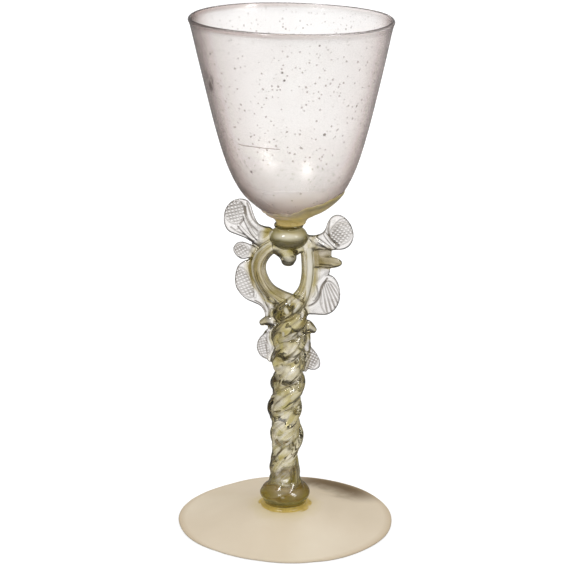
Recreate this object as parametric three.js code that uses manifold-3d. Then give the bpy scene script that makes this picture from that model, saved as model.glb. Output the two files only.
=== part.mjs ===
// A winged goblet: a thin conical bowl on a ball knop, over a stem of two glass rods twisted together like
// a rope. Near the top the rods part and make a heart, and pincered wings stand on both sides of it. The
// foot is a low cone.
// Millimetres, +Z up. The origin is on the table under the middle of the foot, and -Y is the front.
import * as THREE from "three";
import { mergeVertices } from "three/addons/utils/BufferGeometryUtils.js";
import Module from "manifold-3d";

const wasm = await Module();
wasm.setup();

// Driving dimensions
const CLEARANCE = 0.3; // left between pieces that touch

const FOOT_RADIUS = 38.6;
const FOOT_EDGE = 0.8; // thickness of the foot at its edge
const FOOT_WALL = 2.4; // thickness of the foot beside the stem
const FOOT_RISE = 6.4; // height of the foot's upper face beside the stem
const FOOT_REST = 1.8; // width of the flat ring that the glass stands on
const PONTIL_RADIUS = 4.2;
const PONTIL_DEPTH = 0.9;

const FOOT_KNOP_RADIUS = 8.7;
const FOOT_KNOP_HEIGHT = 9.4;
const FOOT_KNOP_TOP_RADIUS = 5.9;
const FOOT_RESIN_REACH = 2.2; // how far the old resin spreads round the foot knop
const FOOT_RESIN_HEIGHT = 1.9;

const STRAND_RADIUS = 2.95; // one rod of the rope
const ROPE_PITCH = 17.6; // height of one full turn
const ROPE_LENGTH = 65.0; // from the foot knop up to where the rods cross under the heart
const ROPE_FOOT_SHARE = 0.9; // the rope is this much thinner where it meets the foot knop
const STEM_LEAN = 1.7; // the rope's top stands this far to the right of its bottom

const HEART_HEIGHT = 24.8; // from the crossing to the middle of the ball
const HEART_LEFT = 10.7; // reach of the left rod's middle from the stem's axis
const HEART_RIGHT = 6.1;
const ARM_RADIUS_LEFT = 2.3;
const ARM_RADIUS_RIGHT = 2.1;
const DROP_LENGTH = 7.2; // of the drop that hangs from the ball into the heart
const DROP_RADIUS = 1.8;
const DROP_LEAN = 5; // degrees by which the drop's tip swings to the right

const BALL_RADIUS = 6.2;
const BALL_HALF_HEIGHT = 4.0;
const BALL_SEAT_SHARE = 0.875; // the ball is cut flat at this share of its half height
const BALL_OFFSET = 1.3; // the ball's middle, to the right of the foot's
const COLLAR_RADIUS = 5.3;
const COLLAR_HEIGHT = 0.8;
const NECK_RADIUS = 5.2;
const NECK_HEIGHT = 3.2;

const BOWL_RADIUS = 34.4; // outside, at the lip
const BOWL_HEIGHT = 66.5;
const BOWL_WALL = 1.2;
const BOWL_BASE_WALL = 2.2; // thickness of the glass at the bottom of the bowl
const BOWL_THICK_SHARE = 0.25; // the wall thins out over this share of the bowl's height
const BOWL_OFFSET = 2.2; // the middle of the lip, to the right of the foot's
const BOWL_LEAN = 0.45; // the bottom of the bowl stands this much further to the right
const RIM_TILT = 0.019; // the lip falls by this share of the way to the right
const RIM_TILT_FROM = 0.4; // share of the bowl's height at which the fall begins
const BOWL_RESIN_THICKNESS = 0.5;
const BOWL_RESIN_GAP = 0.1; // between the resin and the clearance round the bowl
const BOWL_RESIN_START = 0.11; // share of the bowl's outline, from its bottom, at which the resin starts
const BOWL_RESIN_LOW = 3.2; // height of the resin's edge above the bottom of the bowl, left and behind
const BOWL_RESIN_HIGH = 10.5; // and at the right
const BOWL_RESIN_CLIMB = [-92, -66]; // degrees round the bowl where the edge climbs, -90 being the front
const BOWL_RESIN_FALL = [-40, 20]; // and where it falls again

const CREST_RADIUS = 0.95; // the clear thread laid along the outside of each rod
const CREST_SINK = 0.2; // share of its radius by which the thread is sunk into the rod
const WING_THICKNESS = 1.6;
const SPUR_THICKNESS = 1.9;
const WING_EDGE = 0.4; // rounding of the wings' edges
const WAIST_SHARE = 0.55; // where a wing's neck is narrowest, as a share of the way from its root to its disc
const WAIST_DEPTH = 0.12; // how far the neck is drawn in there, as a share of half the root

// The bowl's outer outline, as shares of its radius and of its height
const BOWL_OUTLINE = [
  [0.0, 0.0],
  [0.145, 0.004],
  [0.262, 0.017],
  [0.384, 0.057],
  [0.526, 0.137],
  [0.651, 0.273],
  [0.768, 0.482],
  [0.9, 0.781],
  [0.975, 0.96],
  [1.0, 1.0],
];

// How finely curved surfaces are cut
const ROUND_SIDES = 36;
const KNOP_SIDES = 28;
const SMALL_SIDES = 14;
const STRAND_SIDES = 9;
const STEPS_PER_TURN = 12;
const ARM_STEPS = 12;
const CREST_SEGMENTS = 4; // half the sides of a thread
const WING_SEGMENTS = 6; // segments of each curve in a wing's outline
const BOWL_RINGS = 12;
const BALL_RINGS = 10;
const RESIN_RINGS = 3;
const HALVINGS = 20; // of an interval, in a search
const TURN_SAMPLES = 200; // places along one turn of the rope at which the distance of its rods is taken

// Heights that follow from the dimensions
const knopTop = FOOT_RISE + FOOT_KNOP_HEIGHT;
const ropeBase = knopTop + CLEARANCE;
const crossing = ropeBase + ROPE_LENGTH;
const ballCentre = crossing + HEART_HEIGHT;
const ballSeat = ballCentre + BALL_SEAT_SHARE * BALL_HALF_HEIGHT;
const collarBase = ballSeat + CLEARANCE;
const neckBase = collarBase + COLLAR_HEIGHT + CLEARANCE;
const bowlBase = neckBase + NECK_HEIGHT;

// Solids

// A closed geometry as a manifold-3d solid whose faces point out.
function solidOf(geometry) {
  const flat = geometry.index ? geometry.toNonIndexed() : geometry.clone();
  const bare = new THREE.BufferGeometry().setAttribute("position", flat.getAttribute("position"));
  const merged = mergeVertices(bare, 1e-4);
  const triangles = [];
  for (let i = 0; i < merged.index.count; i += 3) {
    const [a, b, c] = [0, 1, 2].map((k) => merged.index.getX(i + k));
    if (a !== b && b !== c && c !== a) triangles.push(a, b, c);
  }
  const made = new wasm.Manifold(
    new wasm.Mesh({
      numProp: 3,
      vertProperties: merged.attributes.position.array,
      triVerts: new Uint32Array(triangles),
    }),
  );
  if (made.volume() > 0) return made;
  for (let i = 0; i < triangles.length; i += 3) {
    [triangles[i + 1], triangles[i + 2]] = [triangles[i + 2], triangles[i + 1]];
  }
  return new wasm.Manifold(
    new wasm.Mesh({
      numProp: 3,
      vertProperties: merged.attributes.position.array,
      triVerts: new Uint32Array(triangles),
    }),
  );
}

function geometryOf(solid) {
  const mesh = solid.getMesh();
  const corners = new Float32Array(mesh.numVert * 3);
  for (let i = 0; i < mesh.numVert; i++) {
    corners.set(mesh.vertProperties.subarray(i * mesh.numProp, i * mesh.numProp + 3), i * 3);
  }
  const geometry = new THREE.BufferGeometry();
  geometry.setAttribute("position", new THREE.BufferAttribute(corners, 3));
  geometry.setIndex(new THREE.BufferAttribute(new Uint32Array(mesh.triVerts), 1));
  geometry.computeVertexNormals();
  return geometry;
}

// The biggest body of a solid: a cut may leave slivers behind it.
function largest(solid) {
  return solid.decompose().reduce((best, body) => (body.volume() > best.volume() ? body : best));
}

// Outlines

// A closed outline of [radius, height] points moved out by a distance, as a profile turned about the axis.
function grownProfile(points, distance) {
  if (distance === 0) return points;
  return points.map(([r, z], i) => {
    const [r0, z0] = points[Math.max(i - 1, 0)];
    const [r1, z1] = points[Math.min(i + 1, points.length - 1)];
    const length = Math.hypot(r1 - r0, z1 - z0);
    const onAxis = r === 0;
    const outR = (z1 - z0) / length;
    const outZ = -(r1 - r0) / length;
    if (onAxis) return [0, z + Math.sign(outZ) * distance];
    return [Math.max(r + outR * distance, 0), z + outZ * distance];
  });
}

// A solid of revolution about the vertical through x. The profile runs from the bottom, round the outside,
// to the top.
function turned(profile, { x = 0, sides = ROUND_SIDES, grow = 0 } = {}) {
  const points = grownProfile(profile, grow).map(([r, z]) => new THREE.Vector2(r, z));
  return new THREE.LatheGeometry(points, sides).rotateX(Math.PI / 2).translate(x, 0, 0);
}

// Points of a smooth curve through [radius, height] points.
function smoothProfile(points, count) {
  const curve = new THREE.SplineCurve(points.map(([r, z]) => new THREE.Vector2(r, z)));
  return curve.getPoints(count).map((p) => [Math.max(p.x, 0), p.y]);
}

// A round rod along a curve, whose radius is given for each share of the curve's length, with flat ends.
function rod(curve, radiusAt, steps, sides) {
  const frames = curve.computeFrenetFrames(steps, false);
  const corners = [];
  for (let i = 0; i <= steps; i++) {
    const centre = curve.getPointAt(i / steps);
    const radius = radiusAt(i / steps);
    for (let k = 0; k < sides; k++) {
      const angle = (2 * Math.PI * k) / sides;
      const corner = centre
        .clone()
        .addScaledVector(frames.normals[i], radius * Math.cos(angle))
        .addScaledVector(frames.binormals[i], radius * Math.sin(angle));
      corners.push(corner.x, corner.y, corner.z);
    }
  }
  const faces = [];
  for (let i = 0; i < steps; i++) {
    for (let k = 0; k < sides; k++) {
      const a = i * sides + k;
      const b = i * sides + ((k + 1) % sides);
      faces.push(a, b, b + sides, a, b + sides, a + sides);
    }
  }
  const last = steps * sides;
  for (let k = 1; k < sides - 1; k++) {
    faces.push(0, k + 1, k, last, last + k, last + k + 1);
  }
  const geometry = new THREE.BufferGeometry();
  geometry.setAttribute("position", new THREE.Float32BufferAttribute(corners, 3));
  geometry.setIndex(faces);
  return geometry;
}

// A rounded lump with its own three radii, turned in the plane of the heart by a number of degrees.
function lump({ at, radii, turn = 0, grow = 0 }) {
  return new THREE.SphereGeometry(1, SMALL_SIDES, SMALL_SIDES / 2)
    .scale(...radii.map((r) => r + grow))
    .rotateY(THREE.MathUtils.degToRad(turn))
    .translate(...at);
}

// A flat shape in the plane of the heart, given a thickness and rounded edges, and turned about the
// vertical at its root.
function blade(shape, { thickness, root, turn = 0, grow = 0 }) {
  const edge = WING_EDGE + grow;
  const flat = thickness - 2 * WING_EDGE;
  const geometry = new THREE.ExtrudeGeometry(shape, {
    depth: flat,
    bevelSize: edge,
    bevelThickness: edge,
    bevelSegments: 1,
    curveSegments: WING_SEGMENTS,
  });
  return geometry
    .translate(0, 0, -flat / 2)
    .rotateX(Math.PI / 2)
    .translate(-root.x, 0, 0)
    .rotateZ(THREE.MathUtils.degToRad(turn))
    .translate(root.x, 0, 0);
}

// The outline of a wing: a neck that leaves the root and swells into a disc. The root's line is square to
// the wing, or upright where the wing leaves the side of the rope. The edge rounding is added outside it.
function wingShape({ root, rootHalf, disc, radius, opening = 50, upright = false }) {
  const along = new THREE.Vector2(disc.x - root.x, disc.y - root.y).normalize();
  const across = new THREE.Vector2(-along.y, along.x);
  const rootLine = upright ? new THREE.Vector2(0, Math.sign(across.y)) : across;
  const heading = Math.atan2(along.y, along.x);
  const half = rootHalf - WING_EDGE;
  const r = radius - WING_EDGE;
  const turnAway = Math.PI - THREE.MathUtils.degToRad(opening);
  const onDisc = (side) => {
    const angle = heading + side * turnAway;
    return new THREE.Vector2(disc.x + r * Math.cos(angle), disc.y + r * Math.sin(angle));
  };
  const corner = (side) => root.clone().addScaledVector(rootLine, side * half);
  const waist = (side) => {
    const middle = corner(side).lerp(onDisc(side), WAIST_SHARE);
    return middle.addScaledVector(across, -side * WAIST_DEPTH * half);
  };
  const shape = new THREE.Shape();
  shape.moveTo(corner(-1).x, corner(-1).y);
  shape.quadraticCurveTo(waist(-1).x, waist(-1).y, onDisc(-1).x, onDisc(-1).y);
  shape.absarc(disc.x, disc.y, r, heading - turnAway, heading + turnAway, false);
  shape.quadraticCurveTo(waist(1).x, waist(1).y, corner(1).x, corner(1).y);
  shape.closePath();
  return shape;
}

// The outline of a lobe pressed against the rod along its whole height: an oval cut off by an upright line.
function lobeShape({ side, root, disc, radius, tall, inset }) {
  const lineX = root.x - side * inset;
  const reach = radius - WING_EDGE;
  const half = Math.acos((side * (lineX - disc.x)) / reach);
  const middle = side > 0 ? 0 : Math.PI;
  const shape = new THREE.Shape();
  shape.absellipse(disc.x, disc.y, reach, tall - WING_EDGE, middle - half, middle + half, false);
  shape.closePath();
  return shape;
}

// Stem curves

const axisX = (z) => ((z - ropeBase) / ROPE_LENGTH) * STEM_LEAN;

// The rope grows from its thin foot to full size in its lower half.
function ropeShare(z) {
  const climbed = THREE.MathUtils.smoothstep(z, ropeBase, ropeBase + ROPE_LENGTH / 2);
  return THREE.MathUtils.lerp(ROPE_FOOT_SHARE, 1, climbed);
}

// The least distance between the middles of two rods that turn about one axis.
function rodDistance(orbit) {
  let least = 2 * orbit;
  for (let rise = 0; rise < ROPE_PITCH / 2; rise += ROPE_PITCH / TURN_SAMPLES) {
    const apart = Math.PI + (2 * Math.PI * rise) / ROPE_PITCH;
    least = Math.min(least, Math.hypot(orbit * (1 - Math.cos(apart)), orbit * Math.sin(apart), rise));
  }
  return least;
}

// How far the rods' middles lie from the rope's axis, so that the rods just clear each other.
function ropeOrbit() {
  let [low, high] = [STRAND_RADIUS, 2 * STRAND_RADIUS];
  for (let i = 0; i < HALVINGS; i++) {
    const middle = (low + high) / 2;
    if (rodDistance(middle) < 2 * STRAND_RADIUS + CLEARANCE) low = middle;
    else high = middle;
  }
  return high;
}

const rodOrbit = ropeOrbit();
const ropeRadius = rodOrbit + STRAND_RADIUS;

// A point on a rod's middle in the rope. Side 1 is the rod that becomes the right arm, -1 the left one.
function ropePoint(z, side) {
  const radius = rodOrbit * ropeShare(z);
  const angle = ((z - crossing) / ROPE_PITCH) * 2 * Math.PI - (side * Math.PI) / 2;
  return new THREE.Vector3(axisX(z) + radius * Math.cos(angle), radius * Math.sin(angle), z);
}

// Where a rod's middle runs in the heart: shares of its reach and of the heart's height, and how far it
// lies behind the stem's plane.
const LEFT_ARM = [
  [0.3, 0.075, 1.9],
  [0.63, 0.19, 0.7],
  [0.87, 0.34, 0.1],
  [1.0, 0.5, 0.0],
  [0.98, 0.64, 0.0],
  [0.81, 0.77, 0.0],
  [0.55, 0.87, 0.0],
  [0.3, 0.93, 0.0],
];
const RIGHT_ARM = [
  [0.42, 0.085, -1.8],
  [0.75, 0.2, -0.6],
  [0.93, 0.34, -0.1],
  [1.0, 0.48, 0.0],
  [1.0, 0.63, 0.0],
  [0.95, 0.78, 0.0],
  [0.86, 0.92, 0.0],
  [0.8, 1.0, 0.0],
];

function armPoints(side) {
  const arm = side < 0 ? LEFT_ARM : RIGHT_ARM;
  const reach = side < 0 ? HEART_LEFT : HEART_RIGHT;
  return arm.map(([out, up, back]) => {
    const x = STEM_LEAN + side * out * reach;
    return new THREE.Vector3(x, back, crossing + up * HEART_HEIGHT);
  });
}

function strandCurve(side) {
  const points = [];
  const start = ropeBase - STRAND_RADIUS; // inside the foot knop, which cuts the rod off
  const stations = Math.ceil(((crossing - start) / ROPE_PITCH) * STEPS_PER_TURN);
  for (let i = 0; i <= stations; i++) {
    points.push(ropePoint(start + ((crossing - start) * i) / stations, side));
  }
  return new THREE.CatmullRomCurve3([...points, ...armPoints(side)]);
}

function strand(side, grow) {
  const curve = strandCurve(side);
  const armRadius = side < 0 ? ARM_RADIUS_LEFT : ARM_RADIUS_RIGHT;
  const radiusAt = (share) => {
    const z = curve.getPointAt(share).z;
    const parted = THREE.MathUtils.smoothstep(z, crossing - 1, crossing + 0.3 * HEART_HEIGHT);
    return THREE.MathUtils.lerp(STRAND_RADIUS * ropeShare(z), armRadius, parted) + grow;
  };
  const steps = Math.round((ROPE_LENGTH / ROPE_PITCH) * STEPS_PER_TURN + ARM_STEPS);
  return rod(curve, radiusAt, steps, STRAND_SIDES);
}

// The middle and the heading of an arm at a share of the heart's height.
function armAt(side, share) {
  const curve = new THREE.CatmullRomCurve3(armPoints(side));
  let [low, high] = [0, 1];
  for (let i = 0; i < HALVINGS; i++) {
    const middle = (low + high) / 2;
    if (curve.getPoint(middle).z < crossing + share * HEART_HEIGHT) low = middle;
    else high = middle;
  }
  return { point: curve.getPoint(low), heading: curve.getTangent(low) };
}

// Where the thread's middle lies outside the rod: beside an arm, at a share of the heart's height, or
// beside the rope, at a drop below the crossing.
const crestOffset = CLEARANCE + (1 - CREST_SINK) * CREST_RADIUS;
function besideArm(side, share) {
  const { point, heading } = armAt(side, share);
  const out = new THREE.Vector2(side * heading.z, -side * heading.x).normalize();
  const armRadius = side < 0 ? ARM_RADIUS_LEFT : ARM_RADIUS_RIGHT;
  return new THREE.Vector2(point.x, point.z).addScaledVector(out, armRadius + crestOffset);
}
function besideRope(side, drop) {
  const z = crossing - drop;
  return new THREE.Vector2(axisX(z) + side * (ropeRadius + crestOffset), z);
}

// Moves the first point of a route away from the second.
function lengthen(route, distance) {
  const away = route[0].clone().sub(route[1]).normalize();
  route[0] = route[0].clone().addScaledVector(away, distance);
}

// A stretch of the clear thread: along an arm, from the top down, and on beside the rope.
function crest({ side, shares, drops }, grow) {
  const beside = shares.map((share) => besideArm(side, share));
  const route = [...beside, ...drops.map((drop) => besideRope(side, drop))];
  lengthen(route, grow);
  lengthen(route.reverse(), grow);
  const section = new THREE.Shape().absarc(0, 0, CREST_RADIUS + grow, 0, 2 * Math.PI, false);
  return new THREE.ExtrudeGeometry(section, {
    steps: 2 * route.length,
    extrudePath: new THREE.CatmullRomCurve3(route.map(({ x, y }) => new THREE.Vector3(x, 0, y))),
    curveSegments: CREST_SEGMENTS,
    bevelEnabled: false,
  });
}

// Pieces of the bowl and foot

const bowlOutline = smoothProfile(
  BOWL_OUTLINE.map(([r, z]) => [r * BOWL_RADIUS, bowlBase + z * BOWL_HEIGHT]),
  BOWL_RINGS,
);

// The bowl's wall: up the outside, round the lip and down the inside.
function bowlProfile(grow) {
  const outside = grownProfile(bowlOutline, grow);
  const [lipRadius, lipHeight] = outside[outside.length - 1];
  const inside = grownProfile(bowlOutline, 0).map(([r, z], i, all) => {
    const share = Math.min(1, (z - bowlBase) / (BOWL_THICK_SHARE * BOWL_HEIGHT));
    const wall = THREE.MathUtils.lerp(BOWL_BASE_WALL, BOWL_WALL, share) + grow;
    const [r0, z0] = all[Math.max(i - 1, 0)];
    const [r1, z1] = all[Math.min(i + 1, all.length - 1)];
    const length = Math.hypot(r1 - r0, z1 - z0);
    return [Math.max(r - ((z1 - z0) / length) * wall, 0), z + ((r1 - r0) / length) * wall];
  });
  inside[0] = [0, bowlBase + BOWL_BASE_WALL + grow];
  const lip = [lipRadius - BOWL_WALL / 2, lipHeight + BOWL_WALL / 3 + grow];
  return [...outside, lip, ...inside.slice(0, -1).reverse()];
}

// Where the bowl's axis lies: it leans, so its bottom stands further to the right than its lip.
const bowlX = (z) => BOWL_OFFSET + BOWL_LEAN * (1 - (z - bowlBase) / BOWL_HEIGHT);

// Moves an upright bowl onto its leaning axis, and lets its upper part fall to the right.
function settle(geometry) {
  const place = geometry.getAttribute("position");
  for (let i = 0; i < place.count; i++) {
    const [x, z] = [place.getX(i), place.getZ(i)];
    const climbed = (z - bowlBase) / BOWL_HEIGHT;
    const share = THREE.MathUtils.smoothstep(climbed, RIM_TILT_FROM, 1);
    place.setX(i, x + bowlX(z));
    place.setZ(i, z - share * RIM_TILT * x);
  }
  return geometry;
}

function bowl(grow) {
  const points = bowlProfile(grow).map(([r, z]) => new THREE.Vector2(r, z));
  return settle(new THREE.LatheGeometry(points, ROUND_SIDES).rotateX(Math.PI / 2));
}

// Height of the resin's edge above the bottom of the bowl, at an angle from the right, -90 being the front.
function resinEdge(degrees) {
  const climbed = THREE.MathUtils.smoothstep(degrees, ...BOWL_RESIN_CLIMB);
  const fallen = THREE.MathUtils.smoothstep(degrees, ...BOWL_RESIN_FALL);
  return THREE.MathUtils.lerp(BOWL_RESIN_LOW, BOWL_RESIN_HIGH, climbed * (1 - fallen));
}

// The old resin on the bottom of the bowl: a closed skin between an inner and an outer layer of points.
function bowlResin(grow) {
  const curve = new THREE.SplineCurve(bowlOutline.map(([r, z]) => new THREE.Vector2(r, z)));
  const inner = CLEARANCE + BOWL_RESIN_GAP - grow;
  const corners = [];
  for (let column = 0; column < ROUND_SIDES; column++) {
    const angle = (2 * Math.PI * column) / ROUND_SIDES;
    const degrees = angle < Math.PI ? (angle * 180) / Math.PI : (angle * 180) / Math.PI - 360;
    const edge = bowlBase + resinEdge(degrees) + grow;
    let [low, high] = [BOWL_RESIN_START, 1];
    for (let i = 0; i < HALVINGS; i++) {
      const middle = (low + high) / 2;
      if (curve.getPoint(middle).y < edge) low = middle;
      else high = middle;
    }
    for (const off of [inner, inner + BOWL_RESIN_THICKNESS + 2 * grow]) {
      for (let i = 0; i <= RESIN_RINGS; i++) {
        const share = THREE.MathUtils.lerp(BOWL_RESIN_START, low, i / RESIN_RINGS);
        const point = curve.getPoint(share);
        const heading = curve.getTangent(share);
        const r = point.x + heading.y * off;
        corners.push(r * Math.cos(angle), r * Math.sin(angle), point.y - heading.x * off);
      }
    }
  }
  const faces = [];
  const rings = RESIN_RINGS + 1;
  const at = (column, layer, i) => ((column % ROUND_SIDES) * 2 + layer) * rings + i;
  const quad = (a, b, c, d) => faces.push(a, b, c, a, c, d);
  for (let c = 0; c < ROUND_SIDES; c++) {
    for (let i = 0; i < RESIN_RINGS; i++) {
      quad(at(c, 1, i), at(c + 1, 1, i), at(c + 1, 1, i + 1), at(c, 1, i + 1));
      quad(at(c, 0, i + 1), at(c + 1, 0, i + 1), at(c + 1, 0, i), at(c, 0, i));
    }
    quad(at(c, 1, RESIN_RINGS), at(c + 1, 1, RESIN_RINGS), at(c + 1, 0, RESIN_RINGS), at(c, 0, RESIN_RINGS));
    quad(at(c, 0, 0), at(c + 1, 0, 0), at(c + 1, 1, 0), at(c, 1, 0));
  }
  const geometry = new THREE.BufferGeometry();
  geometry.setAttribute("position", new THREE.Float32BufferAttribute(corners, 3));
  geometry.setIndex(faces);
  return settle(geometry);
}

// The foot: a flat ring to stand on, a hollow underneath, a thin edge and a gentle cone on top.
function foot(grow) {
  const restInner = FOOT_RADIUS - FOOT_EDGE / 2 - FOOT_REST;
  const hollow = FOOT_RISE - FOOT_WALL;
  const profile = [
    [0, hollow],
    [0.2 * FOOT_RADIUS, hollow],
    [0.45 * FOOT_RADIUS, 0.62 * hollow],
    [0.75 * FOOT_RADIUS, 0.2 * hollow],
    [restInner, 0],
    [restInner + FOOT_REST, 0],
    [FOOT_RADIUS, 0.45 * FOOT_EDGE],
    [FOOT_RADIUS - 0.3 * FOOT_EDGE, FOOT_EDGE],
    [0.8 * FOOT_RADIUS, FOOT_EDGE + 0.16 * (FOOT_RISE - FOOT_EDGE)],
    [0.55 * FOOT_RADIUS, FOOT_EDGE + 0.48 * (FOOT_RISE - FOOT_EDGE)],
    [0.35 * FOOT_RADIUS, FOOT_EDGE + 0.82 * (FOOT_RISE - FOOT_EDGE)],
    [0.22 * FOOT_RADIUS, FOOT_RISE],
    [0, FOOT_RISE],
  ];
  return turned(profile, { grow });
}

// The rough scar of the rod that held the glass while it was made, under the middle of the foot.
function pontilScar(grow) {
  const top = FOOT_RISE - FOOT_WALL;
  const profile = [
    [0, top - 0.4 * PONTIL_DEPTH],
    [0.55 * PONTIL_RADIUS, top - 0.5 * PONTIL_DEPTH],
    [0.8 * PONTIL_RADIUS, top - PONTIL_DEPTH],
    [PONTIL_RADIUS, top - 0.5 * PONTIL_DEPTH],
    [PONTIL_RADIUS, top + CLEARANCE],
    [0, top + CLEARANCE],
  ];
  return turned(profile, { sides: SMALL_SIDES, grow });
}

function footKnop(grow) {
  const base = FOOT_RISE - CLEARANCE;
  const tall = knopTop - base;
  const profile = [
    [0, base],
    [0.87 * FOOT_KNOP_RADIUS, base],
    [0.92 * FOOT_KNOP_RADIUS, base + 0.2 * tall],
    [0.99 * FOOT_KNOP_RADIUS, base + 0.38 * tall],
    [FOOT_KNOP_RADIUS, base + 0.5 * tall],
    [0.97 * FOOT_KNOP_RADIUS, base + 0.64 * tall],
    [0.88 * FOOT_KNOP_RADIUS, base + 0.76 * tall],
    [1.085 * FOOT_KNOP_TOP_RADIUS, base + 0.9 * tall],
    [FOOT_KNOP_TOP_RADIUS, knopTop],
    [0, knopTop],
  ];
  return turned(profile, { sides: KNOP_SIDES, grow });
}

// Old resin in the corner between the foot and its knop, which cut this disc down to a ring.
function footResin(grow) {
  const base = FOOT_RISE - 2 * CLEARANCE;
  const outer = FOOT_KNOP_RADIUS + FOOT_RESIN_REACH;
  const profile = [
    [0, base],
    [outer, base],
    [FOOT_KNOP_RADIUS + 0.77 * FOOT_RESIN_REACH, FOOT_RISE + 0.3 * FOOT_RESIN_HEIGHT],
    [FOOT_KNOP_RADIUS + 0.3 * FOOT_RESIN_REACH, FOOT_RISE + 0.75 * FOOT_RESIN_HEIGHT],
    [0.97 * FOOT_KNOP_RADIUS, FOOT_RISE + FOOT_RESIN_HEIGHT],
    [0, FOOT_RISE + FOOT_RESIN_HEIGHT],
  ];
  return turned(profile, { sides: KNOP_SIDES, grow });
}

// The ball is a flattened sphere, cut flat on top for the collar.
function ballKnop(grow) {
  const top = Math.asin(BALL_SEAT_SHARE);
  const profile = [];
  for (let i = 0; i <= BALL_RINGS; i++) {
    const angle = THREE.MathUtils.lerp(-Math.PI / 2, top, i / BALL_RINGS);
    const r = i === 0 ? 0 : (BALL_RADIUS + grow) * Math.cos(angle);
    profile.push([r, ballCentre + (BALL_HALF_HEIGHT + grow) * Math.sin(angle)]);
  }
  profile.push([0, ballSeat + grow]);
  return turned(profile, { x: BALL_OFFSET, sides: KNOP_SIDES });
}

function collar(grow) {
  const profile = [
    [0, collarBase],
    [0.93 * COLLAR_RADIUS, collarBase],
    [COLLAR_RADIUS, collarBase + 0.5 * COLLAR_HEIGHT],
    [0.93 * COLLAR_RADIUS, collarBase + COLLAR_HEIGHT],
    [0, collarBase + COLLAR_HEIGHT],
  ];
  return turned(profile, { x: BALL_OFFSET, sides: KNOP_SIDES, grow });
}

// The neck flares up under the bowl, which cuts its top to shape.
function neck(grow) {
  const profile = [
    [0, neckBase],
    [NECK_RADIUS, neckBase],
    [1.03 * NECK_RADIUS, neckBase + 0.25 * NECK_HEIGHT],
    [1.18 * NECK_RADIUS, neckBase + 0.55 * NECK_HEIGHT],
    [1.45 * NECK_RADIUS, neckBase + 0.85 * NECK_HEIGHT],
    [1.75 * NECK_RADIUS, neckBase + 1.1 * NECK_HEIGHT],
    [1.75 * NECK_RADIUS, neckBase + 1.6 * NECK_HEIGHT],
    [0, neckBase + 1.6 * NECK_HEIGHT],
  ];
  return turned(profile, { x: (BALL_OFFSET + bowlX(bowlBase)) / 2, sides: KNOP_SIDES, grow });
}

// The drop of glass that hangs from the ball into the heart.
function pendantDrop(grow) {
  const top = ballCentre - BALL_HALF_HEIGHT;
  const profile = [
    [0, top - DROP_LENGTH],
    [0.6 * DROP_RADIUS, top - 0.97 * DROP_LENGTH],
    [0.92 * DROP_RADIUS, top - 0.86 * DROP_LENGTH],
    [DROP_RADIUS, top - 0.6 * DROP_LENGTH],
    [1.33 * DROP_RADIUS, top - 0.3 * DROP_LENGTH],
    [2 * DROP_RADIUS, top + 0.05 * DROP_LENGTH],
    [2 * DROP_RADIUS, top + 0.25 * DROP_LENGTH],
    [0, top + 0.25 * DROP_LENGTH],
  ];
  return turned(profile, { sides: SMALL_SIDES, grow })
    .translate(0, 0, -top)
    .rotateY(-THREE.MathUtils.degToRad(DROP_LEAN))
    .translate(BALL_OFFSET - BALL_RADIUS / 5, 0, top);
}

// Lumps of glass beside the ball: how far out from its side, in front of its middle and down from its middle
// they lie, and their three radii. The pad ties the drop to the right arm, and the shoulders join arm, ball
// and wing.
const LUMPS = {
  pendant_pad: {
    out: 2.6 - BALL_RADIUS,
    front: 0.9,
    down: BALL_HALF_HEIGHT + 1.4,
    radii: [2.7, 1.7, 1.25],
    turn: -25,
  },
  left_shoulder: { out: 2.0, front: 0, down: 0.6, radii: [4.2, 2.2, 2.6], turn: -28 },
  right_shoulder: { out: 2.6, front: 0, down: 2.6, radii: [3.8, 2.2, 2.9], turn: 8 },
};
function lumpPlace(side, { out, front, down }) {
  return [BALL_OFFSET + side * (BALL_RADIUS + out), -front, ballCentre - down];
}
function besideBall(name, side, grow) {
  const { radii, turn } = LUMPS[name];
  return lump({ at: lumpPlace(side, LUMPS[name]), radii, turn, grow });
}
function onShoulder(name, side) {
  const [x, , z] = lumpPlace(side, LUMPS[name]);
  return new THREE.Vector2(x, z);
}

// The stretches of thread: the shares of the heart's height, and the drops below the crossing, that each
// runs through.
const CRESTS = [
  { name: "left_crest", side: -1, shares: [0.74, 0.6, 0.45, 0.3, 0.18], drops: [0.5, 4.0, 8.3] },
  { name: "right_crest", side: 1, shares: [0.78, 0.62, 0.45, 0.3, 0.16], drops: [1.0, 4.2] },
  { name: "left_lower_crest", side: -1, shares: [], drops: [9.9, 13.4, 17.1, 20.7] },
  { name: "right_lower_crest", side: 1, shares: [], drops: [6.2, 10.8, 15.4, 20.0, 24.9] },
];

// The webs between the shoulder, the leaf and the middle wing at the right.
const WEBS = [
  { name: "right_upper_web", side: 1, shares: [0.66, 0.8], width: 5.3 },
  { name: "right_lower_web", side: 1, shares: [0.3, 0.6], width: 4.8 },
];

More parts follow.
